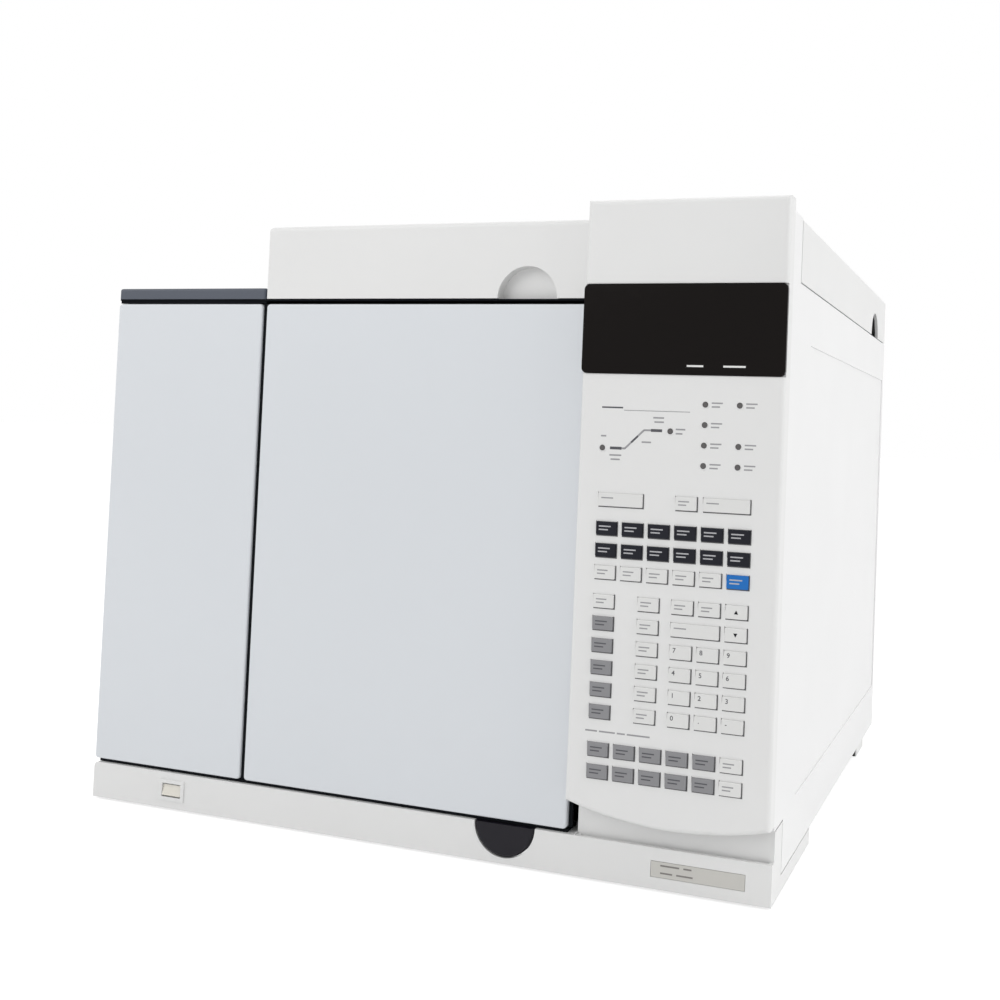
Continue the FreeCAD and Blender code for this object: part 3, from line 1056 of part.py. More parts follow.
def make_keypad():
    """The moulded bezel with an aperture for every key and lamp, and what sits in and behind it."""
    outer, trimmed = chin_block("bezel_outer", "0", BEZEL_FRONT, "bezel_stand + bezel_back")
    front = -number("bezel_stand")
    rim = ["Edge%d" % number for number, edge in enumerate(trimmed.Shape.Edges, start=1)
           if edge.BoundBox.YMax < front + 0.01]
    round_edges(outer, trimmed, rim, "bezel_edge")
    inner, _ = chin_block("bezel_inner", "bezel_wall", BEZEL_FRONT + " + bezel_wall",
                          "bezel_stand + bezel_back")
    holes = [key_hole(*key) for keys in KEYS.values() for key in keys]
    for across, level in lamp_places():
        holes.append(rod("lamp_hole", "Y", (across, BEZEL_FRONT + " - side_gap", level),
                         "lamp_radius + lamp_clearance", "bezel_wall + 2 * side_gap"))
    recess = box("window_recess", ("bezel_left - side_gap", BEZEL_FRONT + " - side_gap", "window_bottom"),
                 ("bezel_width + 2 * side_gap", "window_recess + side_gap", "window_height"))
    view = box("display_hole", ("bezel_left + display_side", BEZEL_FRONT + " - side_gap",
                                "window_bottom + (window_height - display_height) / 2"),
               ("bezel_width - 2 * display_side", "bezel_wall + 2 * side_gap", "display_height"))
    board_front = "(%s + key_depth - key_stand + key_travel + 2 * loose_gap)" % BEZEL_FRONT
    bosses = []
    for across in ("bezel_left + bezel_wall + board_side",
                   "bezel_left + bezel_width - bezel_wall - board_side"):
        for level in ("board_bottom + board_side", "board_top - board_side"):
            bosses.append(rod("board_boss", "Y", (across, BEZEL_FRONT + " + bezel_wall - loose_gap", level),
                              "boss_radius", board_front + " - bezel_wall + bezel_stand + loose_gap"))
    shell = cut("bezel_shell", outer, inner)
    finish(cut("bezel_pierced", fuse("bezel_with_bosses", shell, *bosses), group("key_holes", holes), recess,
               view), "keypad_bezel")

    for label, keys in KEYS.items():
        finish(group(label + "_caps", [key_cap(*key) for key in keys]), label)

    window = new_body("window_pane")
    outline = front_sketch(window, "window_outline", BEZEL_FRONT + " + window_recess - window_depth")
    rectangle(outline, "bezel_left", "window_bottom + loose_gap", "bezel_width",
              "window_height - 2 * loose_gap")
    pane = pad(window, outline, "window_depth", reverse=True)
    round_edges(window, pane, edges(pane, ALONG_Y), "lid_corner")
    finish(window, "display_window")

    module = box("module_block_front", ("bezel_left + display_side / 2", BEZEL_FRONT + " + bezel_wall",
                                        "window_bottom + window_height / 2 - display_height / 2 - side_gap"),
                 ("bezel_width - display_side", "module_depth", "display_height + 2 * side_gap"))
    screen = box("module_screen", ("bezel_left + display_side + loose_gap", BEZEL_FRONT + " + window_recess",
                                   "window_bottom + (window_height - display_height) / 2 + loose_gap"),
                 ("bezel_width - 2 * display_side - 2 * loose_gap", "module_depth",
                  "display_height - 2 * loose_gap"))
    finish(fuse("module_solid_front", module, screen), "display_module")

    board = box("keypad_sheet", ("bezel_left + bezel_wall + loose_gap", board_front, "board_bottom"),
                ("bezel_width - 2 * bezel_wall - 2 * loose_gap", "board_sheet", "board_top - board_bottom"))
    finish(group("keypad_board_single", [board]), "keypad_board")

    lamps = [rod("lamp_lens", "Y", (across, BEZEL_FRONT + " - lamp_stand", level), "lamp_radius",
                 "%s - %s + lamp_stand" % (board_front, BEZEL_FRONT)) for across, level in lamp_places()]
    return finish(group("lamp_lenses", lamps), "status_lamps")


# ---------------------------------------------------------------- electronics bay
def make_electronics():
    """The main board on its standoffs, the power supply on the tray and the mains inlet."""
    face = BAY_LEFT + " + sheet + standoff"
    board = box("main_sheet", (face, "mainboard_front", "mainboard_bottom"),
                ("board_sheet", "mainboard_length", "mainboard_height"))
    chips = []
    for row, level, length, height, depth in (
            ("4 * standoff", "4 * standoff", "mainboard_length / 4", "mainboard_height / 4", "standoff"),
            ("mainboard_length / 2", "4 * standoff", "mainboard_length / 3", "mainboard_height / 8",
             "2 * standoff"),
            ("4 * standoff", "mainboard_height / 2", "mainboard_length / 8", "mainboard_height / 3",
             "2 * standoff"),
            ("mainboard_length / 2", "mainboard_height / 2", "mainboard_length / 4", "mainboard_height / 4",
             "standoff / 2")):
        chips.append(box("board_part", (face + " + board_sheet", "mainboard_front + " + row,
                                        "mainboard_bottom + " + level), (depth, length, height)))
    finish(fuse("main_board_solid", board, *chips), "main_board")

    supply = new_body("supply_case")
    outline = sketch(supply, "supply_outline", "XY", "foot_height + sheet")
    front = "cabinet_depth - supply_rear - supply_length"
    rectangle(outline, "supply_left", front, "supply_width", "supply_length")
    case = pad(supply, outline, "supply_height")
    bevel_edges(supply, case, edges(case, ALONG_Y, lambda point: point.z > number("foot_height")
                                    + number("supply_height") / 2), "sheet")
    slot = sketch(supply, "supply_slot", "XY", "foot_height + sheet + supply_height")
    rectangle(slot, "supply_left + supply_width / 5", front + " + supply_length / 10",
              "supply_width * 3 / 5", "vent_slot")
    first = pocket(supply, slot, "2 * sheet")
    rows = supply.newObject("PartDesign::LinearPattern", "supply_slots")
    rows.Originals = [first]
    rows.Direction = (slot, ["V_Axis"])
    rows.Occurrences = 8
    bind(rows, Length="supply_length * 0.7")
    supply.Tip = rows
    finish(supply, "power_supply")

    left, low, back = "socket_left", "socket_bottom", "cabinet_depth"
    body = box("socket_body", (left + " + loose_gap", back + " - socket_depth", low + " + loose_gap"),
               ("socket_width - 2 * loose_gap", "socket_depth", "socket_height - 2 * loose_gap"))
    flange = box("socket_rim", (left + " - socket_flange", back, low + " - socket_flange"),
                 ("socket_width + 2 * socket_flange", "sheet", "socket_height + 2 * socket_flange"))
    well = box("socket_well", (left + " + socket_wall", back + " - socket_depth + socket_wall",
                               low + " + socket_wall"),
               ("socket_width - 2 * socket_wall", "socket_depth", "socket_height - 2 * socket_wall"))
    pins = [box("socket_blade", ("socket_left + socket_width / 2 + %d * socket_pin_gap - socket_pin / 4" % step,
                                 back + " - socket_depth + socket_wall",
                                 "socket_bottom + socket_height / 2 - socket_pin"),
                ("socket_pin / 2", "socket_depth * 0.6", "2 * socket_pin")) for step in (-1, 0, 1)]
    return finish(fuse("socket_solid", cut("socket_shell", fuse("socket_blank", body, flange), well), *pins),
                  "power_inlet")


# ---------------------------------------------------------------- build, check and write
for make in (make_feet, make_base_pan, make_side_panels, make_bulkhead, make_rear_panel, make_apron,
             make_latch_button, make_power_switch, make_plate, make_door, make_oven_shell, make_fan_shroud,
             make_fan, make_heater_and_probe, make_column, make_ports, make_gas_train, make_exhaust, make_lid,
             make_fixed_covers, make_electronics_cover, make_keypad, make_electronics):
    make()
doc.recompute()

for thing in doc.Objects:
    if "Invalid" in thing.State or "Error" in thing.State:
        raise RuntimeError("%s did not build: %s" % (thing.Name, thing.State))
for label, piece in PIECES.items():
    if piece.Shape.isNull() or not piece.Shape.isValid():
        raise RuntimeError("%s has no sound shape" % label)
for label, piece in PIECES.items():
    piece.Shape.exportStep("parts/%s.step" % label)
print("%d pieces written" % len(PIECES))
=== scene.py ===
import math
import random

import bmesh
import bpy
from mathutils import Euler, Matrix, Vector


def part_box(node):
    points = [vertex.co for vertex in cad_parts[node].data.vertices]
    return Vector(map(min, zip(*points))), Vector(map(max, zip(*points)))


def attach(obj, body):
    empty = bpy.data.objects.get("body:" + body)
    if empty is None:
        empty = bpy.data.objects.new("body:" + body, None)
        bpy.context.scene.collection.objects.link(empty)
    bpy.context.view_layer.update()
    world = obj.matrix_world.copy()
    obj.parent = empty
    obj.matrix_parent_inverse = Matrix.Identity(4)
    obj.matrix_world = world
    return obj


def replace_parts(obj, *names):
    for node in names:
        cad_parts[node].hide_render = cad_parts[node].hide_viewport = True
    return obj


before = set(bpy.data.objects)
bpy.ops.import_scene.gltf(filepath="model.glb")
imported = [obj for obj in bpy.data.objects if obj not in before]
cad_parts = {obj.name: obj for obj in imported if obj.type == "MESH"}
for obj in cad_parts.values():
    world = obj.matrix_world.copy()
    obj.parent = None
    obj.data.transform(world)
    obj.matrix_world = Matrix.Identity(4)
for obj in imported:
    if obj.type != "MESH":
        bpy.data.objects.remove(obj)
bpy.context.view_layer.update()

bpy.context.scene.view_settings.view_transform = "Standard"


# Camera. A standing viewer to the right of the middle, a little below the top of the instrument.
# The lens and its small shift give the same gentle perspective on the front and the right side.
VIEW_PLACE = (0.45373, -1.025727, 0.318734)
VIEW_TURN, VIEW_TILT, VIEW_ROLL = 17.859, -1.819, 2.212
camera_data = bpy.data.cameras.new("camera")
camera_data.sensor_width = 36
camera_data.lens = 40.88
camera_data.shift_x = -0.1696
camera_data.shift_y = -0.0954
camera = bpy.data.objects.new("camera", camera_data)
bpy.context.scene.collection.objects.link(camera)
bpy.context.scene.camera = camera
forward = Vector((0, 1, 0))
forward.rotate(Euler((math.radians(-VIEW_TILT), 0, math.radians(VIEW_TURN))))
aim = forward.to_track_quat("-Z", "Y").to_matrix().to_4x4()
camera.matrix_world = (Matrix.Translation(VIEW_PLACE) @ aim
                       @ Matrix.Rotation(math.radians(VIEW_ROLL), 4, "Z"))


# Studio. A white table that keeps the soft shadow under the instrument, a white room round it, and
# three wide lamps: the strongest from the front left, one at the right side and a faint one above.
def ray_is_seen(tree):
    """One where the ray comes from the eye, a reflection or through glass, and zero elsewhere."""
    path = tree.nodes.new("ShaderNodeLightPath")
    seen = path.outputs["Is Camera Ray"]
    for other in ("Is Glossy Ray", "Is Transmission Ray"):
        larger = tree.nodes.new("ShaderNodeMath")
        larger.operation = "MAXIMUM"
        tree.links.new(seen, larger.inputs[0])
        tree.links.new(path.outputs[other], larger.inputs[1])
        seen = larger.outputs[0]
    return seen


WHITE, ROOM_FILL = (1, 1, 1, 1), 0.60
world = bpy.data.worlds.new("white_room")
world.use_nodes = True
bpy.context.scene.world = world
room = world.node_tree
room_light = room.nodes["Background"]
room_light.inputs["Color"].default_value = WHITE
room_light.inputs["Strength"].default_value = ROOM_FILL
room_seen = room.nodes.new("ShaderNodeBackground")
room_seen.inputs["Color"].default_value = WHITE
room_seen.inputs["Strength"].default_value = 1.0
room_mix = room.nodes.new("ShaderNodeMixShader")
room.links.new(ray_is_seen(room), room_mix.inputs[0])
room.links.new(room_light.outputs[0], room_mix.inputs[1])
room.links.new(room_seen.outputs[0], room_mix.inputs[2])
room.links.new(room_mix.outputs[0], room.nodes["World Output"].inputs["Surface"])

TABLE_REACH, TABLE_GLOW, GLOW_SHARE = 40, 1.75, 0.42
table_paint = bpy.data.materials.new("table_white")
table_paint.use_nodes = True
table_tree = table_paint.node_tree
table_shader = table_tree.nodes["Principled BSDF"]
table_shader.inputs["Base Color"].default_value = (0.86, 0.86, 0.86, 1)
table_shader.inputs["Roughness"].default_value = 0.7
table_glow = table_tree.nodes.new("ShaderNodeEmission")
table_glow.inputs["Strength"].default_value = TABLE_GLOW
table_mix = table_tree.nodes.new("ShaderNodeMixShader")
table_part = table_tree.nodes.new("ShaderNodeMath")
table_part.operation = "MULTIPLY"
table_part.inputs[1].default_value = GLOW_SHARE
table_tree.links.new(ray_is_seen(table_tree), table_part.inputs[0])
table_tree.links.new(table_part.outputs[0], table_mix.inputs[0])
table_tree.links.new(table_shader.outputs[0], table_mix.inputs[1])
table_tree.links.new(table_glow.outputs[0], table_mix.inputs[2])
table_tree.links.new(table_mix.outputs[0], table_tree.nodes["Material Output"].inputs["Surface"])
table_mesh = bpy.data.meshes.new("table")
table_form = bmesh.new()
bmesh.ops.create_grid(table_form, x_segments=2, y_segments=2, size=TABLE_REACH)
table_form.to_mesh(table_mesh)
table_form.free()
table = bpy.data.objects.new("table", table_mesh)
table.data.materials.append(table_paint)
bpy.context.scene.collection.objects.link(table)

LAMPS_AIM = Vector((0, 0, 0.25))
for lamp_name, place, size, power in (("front_lamp", (-1.6, -2.4, 1.9), 2.2, 34),
                                      ("side_lamp", (2.6, -0.2, 1.3), 2.0, 26),
                                      ("top_lamp", (0.2, 0.3, 2.6), 2.0, 14)):
    lamp_data = bpy.data.lights.new(lamp_name, "AREA")
    lamp_data.size = size
    lamp_data.energy = power
    lamp = bpy.data.objects.new(lamp_name, lamp_data)
    lamp.location = place
    lamp.rotation_euler = (LAMPS_AIM - Vector(place)).to_track_quat("-Z", "Y").to_euler()
    bpy.context.scene.collection.objects.link(lamp)


# Painted panels. Powder-coated sheet steel for the two sides with their pressed fields and the back, and
# fine-textured mouldings for the covers. The paint has an even grain and the slightest cloudiness, and
# every other finish here is made the same way.
def paint(name, colour, roughness=0.45, grain=2600, depth=0.02, cloud=0.03, metallic=0.0, coat=0.0,
          shine=0.5, squeeze=(1, 1, 1)):
    """A coated or moulded surface: a slightly cloudy colour, and a fine grain in gloss and relief."""
    cloud_size, cloud_detail, grain_detail, gloss_spread, relief_height = 9, 4, 2, 0.06, 0.0001
    surface = bpy.data.materials.new(name)
    surface.use_nodes = True
    tree = surface.node_tree
    shader = tree.nodes["Principled BSDF"]
    shader.inputs["Metallic"].default_value = metallic
    shader.inputs["Specular IOR Level"].default_value = shine
    shader.inputs["Coat Weight"].default_value = coat
    shader.inputs["Coat Roughness"].default_value = 0.08
    where = tree.nodes.new("ShaderNodeTexCoord")
    mapping = tree.nodes.new("ShaderNodeMapping")
    mapping.inputs["Scale"].default_value = squeeze
    tree.links.new(where.outputs["Object"], mapping.inputs["Vector"])
    clouds = tree.nodes.new("ShaderNodeTexNoise")
    clouds.inputs["Scale"].default_value = cloud_size
    clouds.inputs["Detail"].default_value = cloud_detail
    tree.links.new(mapping.outputs[0], clouds.inputs["Vector"])
    tint = tree.nodes.new("ShaderNodeMix")
    tint.data_type = "RGBA"
    tint.inputs["A"].default_value = [channel * (1 - cloud) for channel in colour] + [1]
    tint.inputs["B"].default_value = [min(1, channel * (1 + cloud)) for channel in colour] + [1]
    tree.links.new(clouds.outputs["Fac"], tint.inputs["Factor"])
    tree.links.new(tint.outputs["Result"], shader.inputs["Base Color"])
    fine = tree.nodes.new("ShaderNodeTexNoise")
    fine.inputs["Scale"].default_value = grain
    fine.inputs["Detail"].default_value = grain_detail
    tree.links.new(mapping.outputs[0], fine.inputs["Vector"])
    gloss = tree.nodes.new("ShaderNodeMapRange")
    gloss.inputs["To Min"].default_value = max(0.02, roughness - gloss_spread)
    gloss.inputs["To Max"].default_value = min(1, roughness + gloss_spread)
    tree.links.new(fine.outputs["Fac"], gloss.inputs["Value"])
    tree.links.new(gloss.outputs["Result"], shader.inputs["Roughness"])
    relief = tree.nodes.new("ShaderNodeBump")
    relief.inputs["Strength"].default_value = depth * 10
    relief.inputs["Distance"].default_value = relief_height
    tree.links.new(fine.outputs["Fac"], relief.inputs["Height"])
    tree.links.new(relief.outputs["Normal"], shader.inputs["Normal"])
    return surface


def dress(material, *nodes):
    """Gives CAD nodes that keep their own shape a finish."""
    for node in nodes:
        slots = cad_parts[node].data.materials
        if slots:
            for index in range(len(slots)):
                slots[index] = material
        else:
            slots.append(material)


# The sides and back are a paler grey than the mouldings, partly as painted light for the brighter lit
# right side.
side_paint = paint("side_paint", (0.80, 0.80, 0.80), roughness=0.5)
dress(side_paint, "left_side_panel", "right_side_panel", "rear_panel")
moulding = paint("warm_grey_moulding", (0.74, 0.74, 0.735), roughness=0.42, grain=1900, depth=0.03)
dress(moulding, "front_apron", "inlet_lid", "rear_top_cover", "electronics_cover", "keypad_bezel")
dress(paint("dark_plate_paint", (0.055, 0.066, 0.09), roughness=0.45), "left_top_cover")


# Oven door. Two aluminium skins in a cool satin paint over a steel pan. A black strip of painted shade
# fills the joint between the skins, and the pan is painted near black so that its edge shows as a painted
# shadow line all round.
door_paint = paint("door_blue_grey", (0.665, 0.69, 0.72), roughness=0.34, grain=1500, depth=0.008,
                   cloud=0.012)
dress(door_paint, "door_skin_left", "door_skin_right")
# The pan's near-black colour is painted shade, for the shadow line round the door.
dress(paint("pan_shade_black", (0.05, 0.052, 0.056), roughness=0.5, metallic=0.3), "door_inner_pan")
dress(paint("seal_glass_braid", (0.60, 0.58, 0.52), roughness=0.9, grain=700, depth=0.08, cloud=0.15),
      "door_gasket")
# Near-black paint for painted shade: in the joint and the gaps round the door and lid, and in the screw
# sockets.
shadow_black = paint("shadow_black", (0.006, 0.007, 0.009), roughness=0.9, grain=900, shine=0.1)


def new_piece(name, form, material, body):
    """Turns a finished bmesh into a piece that rides on a body."""
    mesh = bpy.data.meshes.new(name)
    form.normal_update()
    form.to_mesh(mesh)
    form.free()
    piece = bpy.data.objects.new(name, mesh)
    piece.data.materials.append(material)
    bpy.context.scene.collection.objects.link(piece)
    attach(piece, body)
    return piece


def add_block(form, low, high, turn=None):
    """Adds a block between two corners, turned about its own middle if asked."""
    low, high = Vector(low), Vector(high)
    scale = Matrix.Diagonal((*(high - low), 1))
    place = Matrix.Translation((low + high) / 2)
    bmesh.ops.create_cube(form, size=1, matrix=place @ (turn or Matrix()) @ scale)


MM = 0.001
CABINET, DOOR = "cabinet", "oven_door"
LAP = 0.2 * MM
left_skin_low, left_skin_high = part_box("door_skin_left")
skin_low, skin_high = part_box("door_skin_right")
# The joint strip is painted shade: it is black where the gap between the skins lies in shadow.
strip = bmesh.new()
add_block(strip, (left_skin_high[0] - LAP, skin_low[1] + 2.5 * MM, skin_low[2]),
          (skin_low[0] + LAP, skin_high[1] + 0.5 * MM, skin_high[2]))
new_piece("door_joint_shade", strip, shadow_black, DOOR)


# Gap shade. Thin black strips of painted shade, set back in the gaps so that light doesn't show through
# them. In order they lie under the lid and the dark top plate, below the door, beside the keypad column,
# over the left skin, and in front of the electronics cover.
bezel_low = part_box("keypad_bezel")[0]
cover_low, cover_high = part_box("electronics_cover")
door_front, plate_foot = skin_low[1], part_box("left_top_cover")[0][2]
gaps = bmesh.new()
add_block(gaps, (left_skin_low[0] + 0.3 * MM, door_front + 1 * MM, plate_foot - 1.2 * MM),
          (bezel_low[0] - 0.5 * MM, door_front + 42 * MM, plate_foot - 0.1 * MM))
add_block(gaps, (left_skin_low[0] + 3 * MM, door_front + 3 * MM, skin_low[2] - 2.7 * MM),
          (skin_high[0], door_front + 20 * MM, skin_low[2] - 0.6 * MM))
add_block(gaps, (skin_high[0] + 0.5 * MM, door_front + 4 * MM, skin_low[2] + 1 * MM),
          (bezel_low[0] - 0.2 * MM, door_front + 7 * MM, skin_high[2]))
add_block(gaps, (left_skin_low[0] + 0.3 * MM, door_front + 2 * MM, skin_high[2] + 0.6 * MM),
          (left_skin_high[0] + 2 * MM, door_front + 5 * MM, plate_foot - 0.1 * MM))
add_block(gaps, (cover_low[0] + 2 * MM, cover_low[1] - 1.05 * MM, cover_low[2]),
          (cover_high[0] - 0.2 * MM, cover_low[1] - 0.15 * MM, cover_high[2] - 0.2 * MM))
new_piece("door_gap_shade", gaps, shadow_black, CABINET)


# Latch and switch. The apron is a moulded skirt with a shaded cove under the keypad's chin. The latch in
# it is a black half-disc, and the power switch a cream rocker in a thin frame.
black_moulding = paint("button_black", (0.009, 0.008, 0.012), roughness=0.38, grain=1500, shine=0.2)
dress(black_moulding, "latch_button", "power_inlet")
dress(moulding, "switch_housing")
dress(paint("rocker_cream", (0.74, 0.71, 0.64), roughness=0.3, grain=900), "power_rocker")


# Feet. Rubber feet are set in under the base. Each rear one has a black pad beside it that reaches nearly
# to the side of the cabinet, with a pale cap on its outer end: the pad's black is painted shade on the
# foot's shaded front, and the cap's pale moulding colour is painted light on its lit side.
PAD_FRONT, PAD_BACK, PAD_FOOT, PAD_TOP = 164 * MM, 208 * MM, 0.2 * MM, 14 * MM
PAD_INNER, PAD_OUTER, CAP_OUTER = 262 * MM, 286 * MM, 287.5 * MM
foot_rubber = paint("foot_rubber", (0.02, 0.02, 0.02), roughness=0.85, grain=600)
dress(foot_rubber, "feet")
shade_pads, lit_pad_caps = bmesh.new(), bmesh.new()
for form, inner, outer in ((shade_pads, PAD_INNER, PAD_OUTER), (lit_pad_caps, PAD_OUTER, CAP_OUTER)):
    for side in (-1, 1):
        near, far = sorted((side * inner, side * outer))
        add_block(form, (near, PAD_FRONT, PAD_FOOT), (far, PAD_BACK, PAD_TOP))
    bmesh.ops.bevel(form, geom=form.edges, offset=0.4 * MM, segments=2, profile=0.5, affect="EDGES",
                    material=-1)
new_piece("rear_foot_shade_pads", shade_pads, foot_rubber, CABINET)
new_piece("rear_foot_lit_caps", lit_pad_caps, moulding, CABINET)


# Plate. A small plate of brushed metal at the right end of the apron, with a few short printed bars on it
# and no words.
dress(paint("plate_metal", (0.53, 0.52, 0.49), roughness=0.42, metallic=0.15, grain=900,
            squeeze=(0.05, 1, 1)), "name_plate")
plate_ink = paint("plate_ink", (0.20, 0.19, 0.18), roughness=0.6)
PLATE_BARS, BAR_HALF = ((7, 8.4, 14), (7, 3.2, 9), (19, 3.2, 12), (24, 8.4, 6)), 0.6 * MM
plate_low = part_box("name_plate")[0]
plate_print = bmesh.new()
for across, up, length in PLATE_BARS:
    left, level = plate_low[0] + across * MM, plate_low[2] + up * MM
    add_block(plate_print, (left, plate_low[1] - 0.02 * MM, level - BAR_HALF),
              (left + length * MM, plate_low[1] + 0.1 * MM, level + BAR_HALF))
new_piece("plate_bars", plate_print, plate_ink, CABINET)


# Keypad column. A moulded bezel whose lower end is a wide arc. All the print on it is fine grey ink:
# the temperature ramp with its lamps, the rules over the blocks, and short bars in place of words.
LEFT, FACE, PRINT = bezel_low[0], bezel_low[1], 0.06 * MM
ink_grey = paint("ink_grey", (0.30, 0.30, 0.31), roughness=0.6)
ink_dark = paint("ink_dark", (0.07, 0.07, 0.08), roughness=0.6)


def add_bar(form, across, up, length, thickness, slope=0.0, depth=PRINT, face=None):
    """Adds a printed bar: its left end across and up from the bezel's corner, its length and slope."""
    face = FACE if face is None else face
    turn = Matrix.Rotation(-slope, 4, "Y")
    middle = Vector((LEFT + across + math.cos(slope) * length / 2, face,
                     up + math.sin(slope) * length / 2))
    half = Vector((length / 2, depth, thickness / 2))
    add_block(form, middle - half, middle + half, turn)


LOW_LEVEL, HIGH_LEVEL, CLIMB_START, CLIMB_END = 312, 325.5, 35.5, 49.5
CLIMB_RUN, CLIMB_RISE = CLIMB_END - CLIMB_START, HIGH_LEVEL - LOW_LEVEL
CLIMB_LENGTH, CLIMB_SLOPE = math.hypot(CLIMB_RISE, CLIMB_RUN), math.atan2(CLIMB_RISE, CLIMB_RUN)
WORD_BARS = ((14, 111, 9), (24.5, 111, 12), (38, 111, 6), (45.5, 111, 17), (56, 334.5, 8), (57, 331.5, 7),
             (24, 307, 9), (25, 304, 7), (17, 320.5, 4), (48, 317, 7), (73, 326.8, 7), (73, 323.8, 5))
ramp, small_print = bmesh.new(), bmesh.new()
for across, up, length in ((24.2, LOW_LEVEL, 8.8), (54.6, HIGH_LEVEL, 8.3)):
    add_bar(ramp, across * MM, up * MM, length * MM, 2.0 * MM)
for across, up, length in ((33, LOW_LEVEL, 2.7), (49.4, HIGH_LEVEL, 5.2)):
    add_bar(small_print, across * MM, up * MM, length * MM, 1.3 * MM)
for form, start, end in ((small_print, 0, 0.33), (ramp, 0.33, 0.68), (small_print, 0.68, 1)):
    add_bar(form, (CLIMB_START + start * CLIMB_RUN) * MM, (LOW_LEVEL + start * CLIMB_RISE) * MM,
            (end - start) * CLIMB_LENGTH * MM, 1.4 * MM, slope=CLIMB_SLOPE)
add_bar(small_print, 34 * MM, 339.2 * MM, 49 * MM, 0.5 * MM)
add_bar(ramp, 17 * MM, 341 * MM, 16 * MM, 1.1 * MM)
for across, up, length in WORD_BARS:
    add_bar(small_print, across * MM, up * MM, length * MM, 1.1 * MM)
new_piece("keypad_print", ramp, ink_dark, CABINET)
new_piece("keypad_small_print", small_print, ink_grey, CABINET)


# Status lamps. Small clear lenses, dark when off, each in a pale moulded ring, with a short printed
# bar beside it.
LAMP_RADIUS = 2.0 * MM
LAMP_LEFT, LAMP_BOTTOM, LAMP_COLUMN, LAMP_ROW = 94, 302, 24.7, 14.25
lamp_spots = [(LAMP_LEFT + LAMP_COLUMN * column, LAMP_BOTTOM + LAMP_ROW * row) for column, row in
              ((0, 0), (0, 1), (0, 2), (0, 3), (1, 0), (1, 1), (1, 3))] + [(18.5, 312), (69, 325.3)]
RING_STEPS, RING_PROFILE = 24, ((0, 0, 0), (0, -0.45, 0), (0.5, -0.45, 0), (0.8, 0, 0))
rings = bmesh.new()
marks = bmesh.new()
for across, up in lamp_spots:
    start = Vector((LEFT + across * MM + LAMP_RADIUS + 0.15 * MM, FACE + 0.1 * MM, up * MM))
    profile = [rings.verts.new(start + Vector(step) * MM) for step in RING_PROFILE]
    loop = [rings.edges.new(pair) for pair in zip(profile, profile[1:])]
    bmesh.ops.spin(rings, geom=profile + loop, cent=(LEFT + across * MM, FACE, up * MM), axis=(0, 1, 0),
                   angle=math.tau, steps=RING_STEPS, use_merge=True)
    if across >= LAMP_LEFT:
        add_bar(marks, (across + 4.5) * MM, (up + 1.2) * MM, 8 * MM, 1.0 * MM)
        add_bar(marks, (across + 4.5) * MM, (up - 1.4) * MM, 6 * MM, 1.0 * MM)
bmesh.ops.remove_doubles(rings, verts=rings.verts, dist=0.00001)
bmesh.ops.recalc_face_normals(rings, faces=rings.faces)
new_piece("lamp_rings", rings, moulding, CABINET)
new_piece("lamp_legends", marks, ink_grey, CABINET)
dress(paint("lamp_lens", (0.05, 0.045, 0.045), roughness=0.15, coat=1.0, grain=300), "status_lamps")


# Display window. A pane of smoked acrylic across the whole bezel, nearly black with a breath of brown,
# with the dark display behind it and two short pale marks printed along its foot.
dress(paint("window_smoke", (0.005, 0.0035, 0.003), roughness=0.10, grain=200, depth=0.0, shine=0.1),
      "display_window")
ink_white = paint("ink_white", (0.75, 0.75, 0.74), roughness=0.6)
window_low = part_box("display_window")[0]
window_marks = bmesh.new()
for across, length in ((79.5, 12), (106, 16)):
    add_bar(window_marks, across * MM, window_low[2] + 6.2 * MM, length * MM, 1.3 * MM,
            face=window_low[1], depth=0.03 * MM)
new_piece("window_legends", window_marks, ink_white, CABINET)


# Keys. Moulded caps with rounded corners in white, black, grey and one blue. Each stands in its aperture
# with a painted shadow line on its right and lower sides, and the bezel's colour painted over the gap on
# its left and upper sides as painted light. The number keys carry figures; the others only short bars.
KEY_WIDTH, KEY_HEIGHT, TOP_WIDTH = 16.5 * MM, 10.5 * MM, 34.5 * MM
COLUMN, ROW, SECOND_COLUMN = 19.5 * MM, 15.6 * MM, 33.5 * MM
FIRST_COLUMN, FIRST_ROW, BLOCK_STEP, LOWER_STEP = 24.2 * MM, 275.2 * MM, 20.5 * MM, 26.5 * MM
CORNER, CAP_FRONT = 0.8 * MM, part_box("number_keys")[0][1] + 0.03 * MM
row_steps = [0, BLOCK_STEP, ROW, ROW, BLOCK_STEP] + [ROW] * 5 + [LOWER_STEP, ROW]
row_heights = {letter: FIRST_ROW - sum(row_steps[:count])
               for count, letter in enumerate("ABCDEFGHIJKL", start=1)}
EDIT_ROWS, EDIT_COLUMN = "FGHIJ", 9
WIDE = KEY_WIDTH + COLUMN
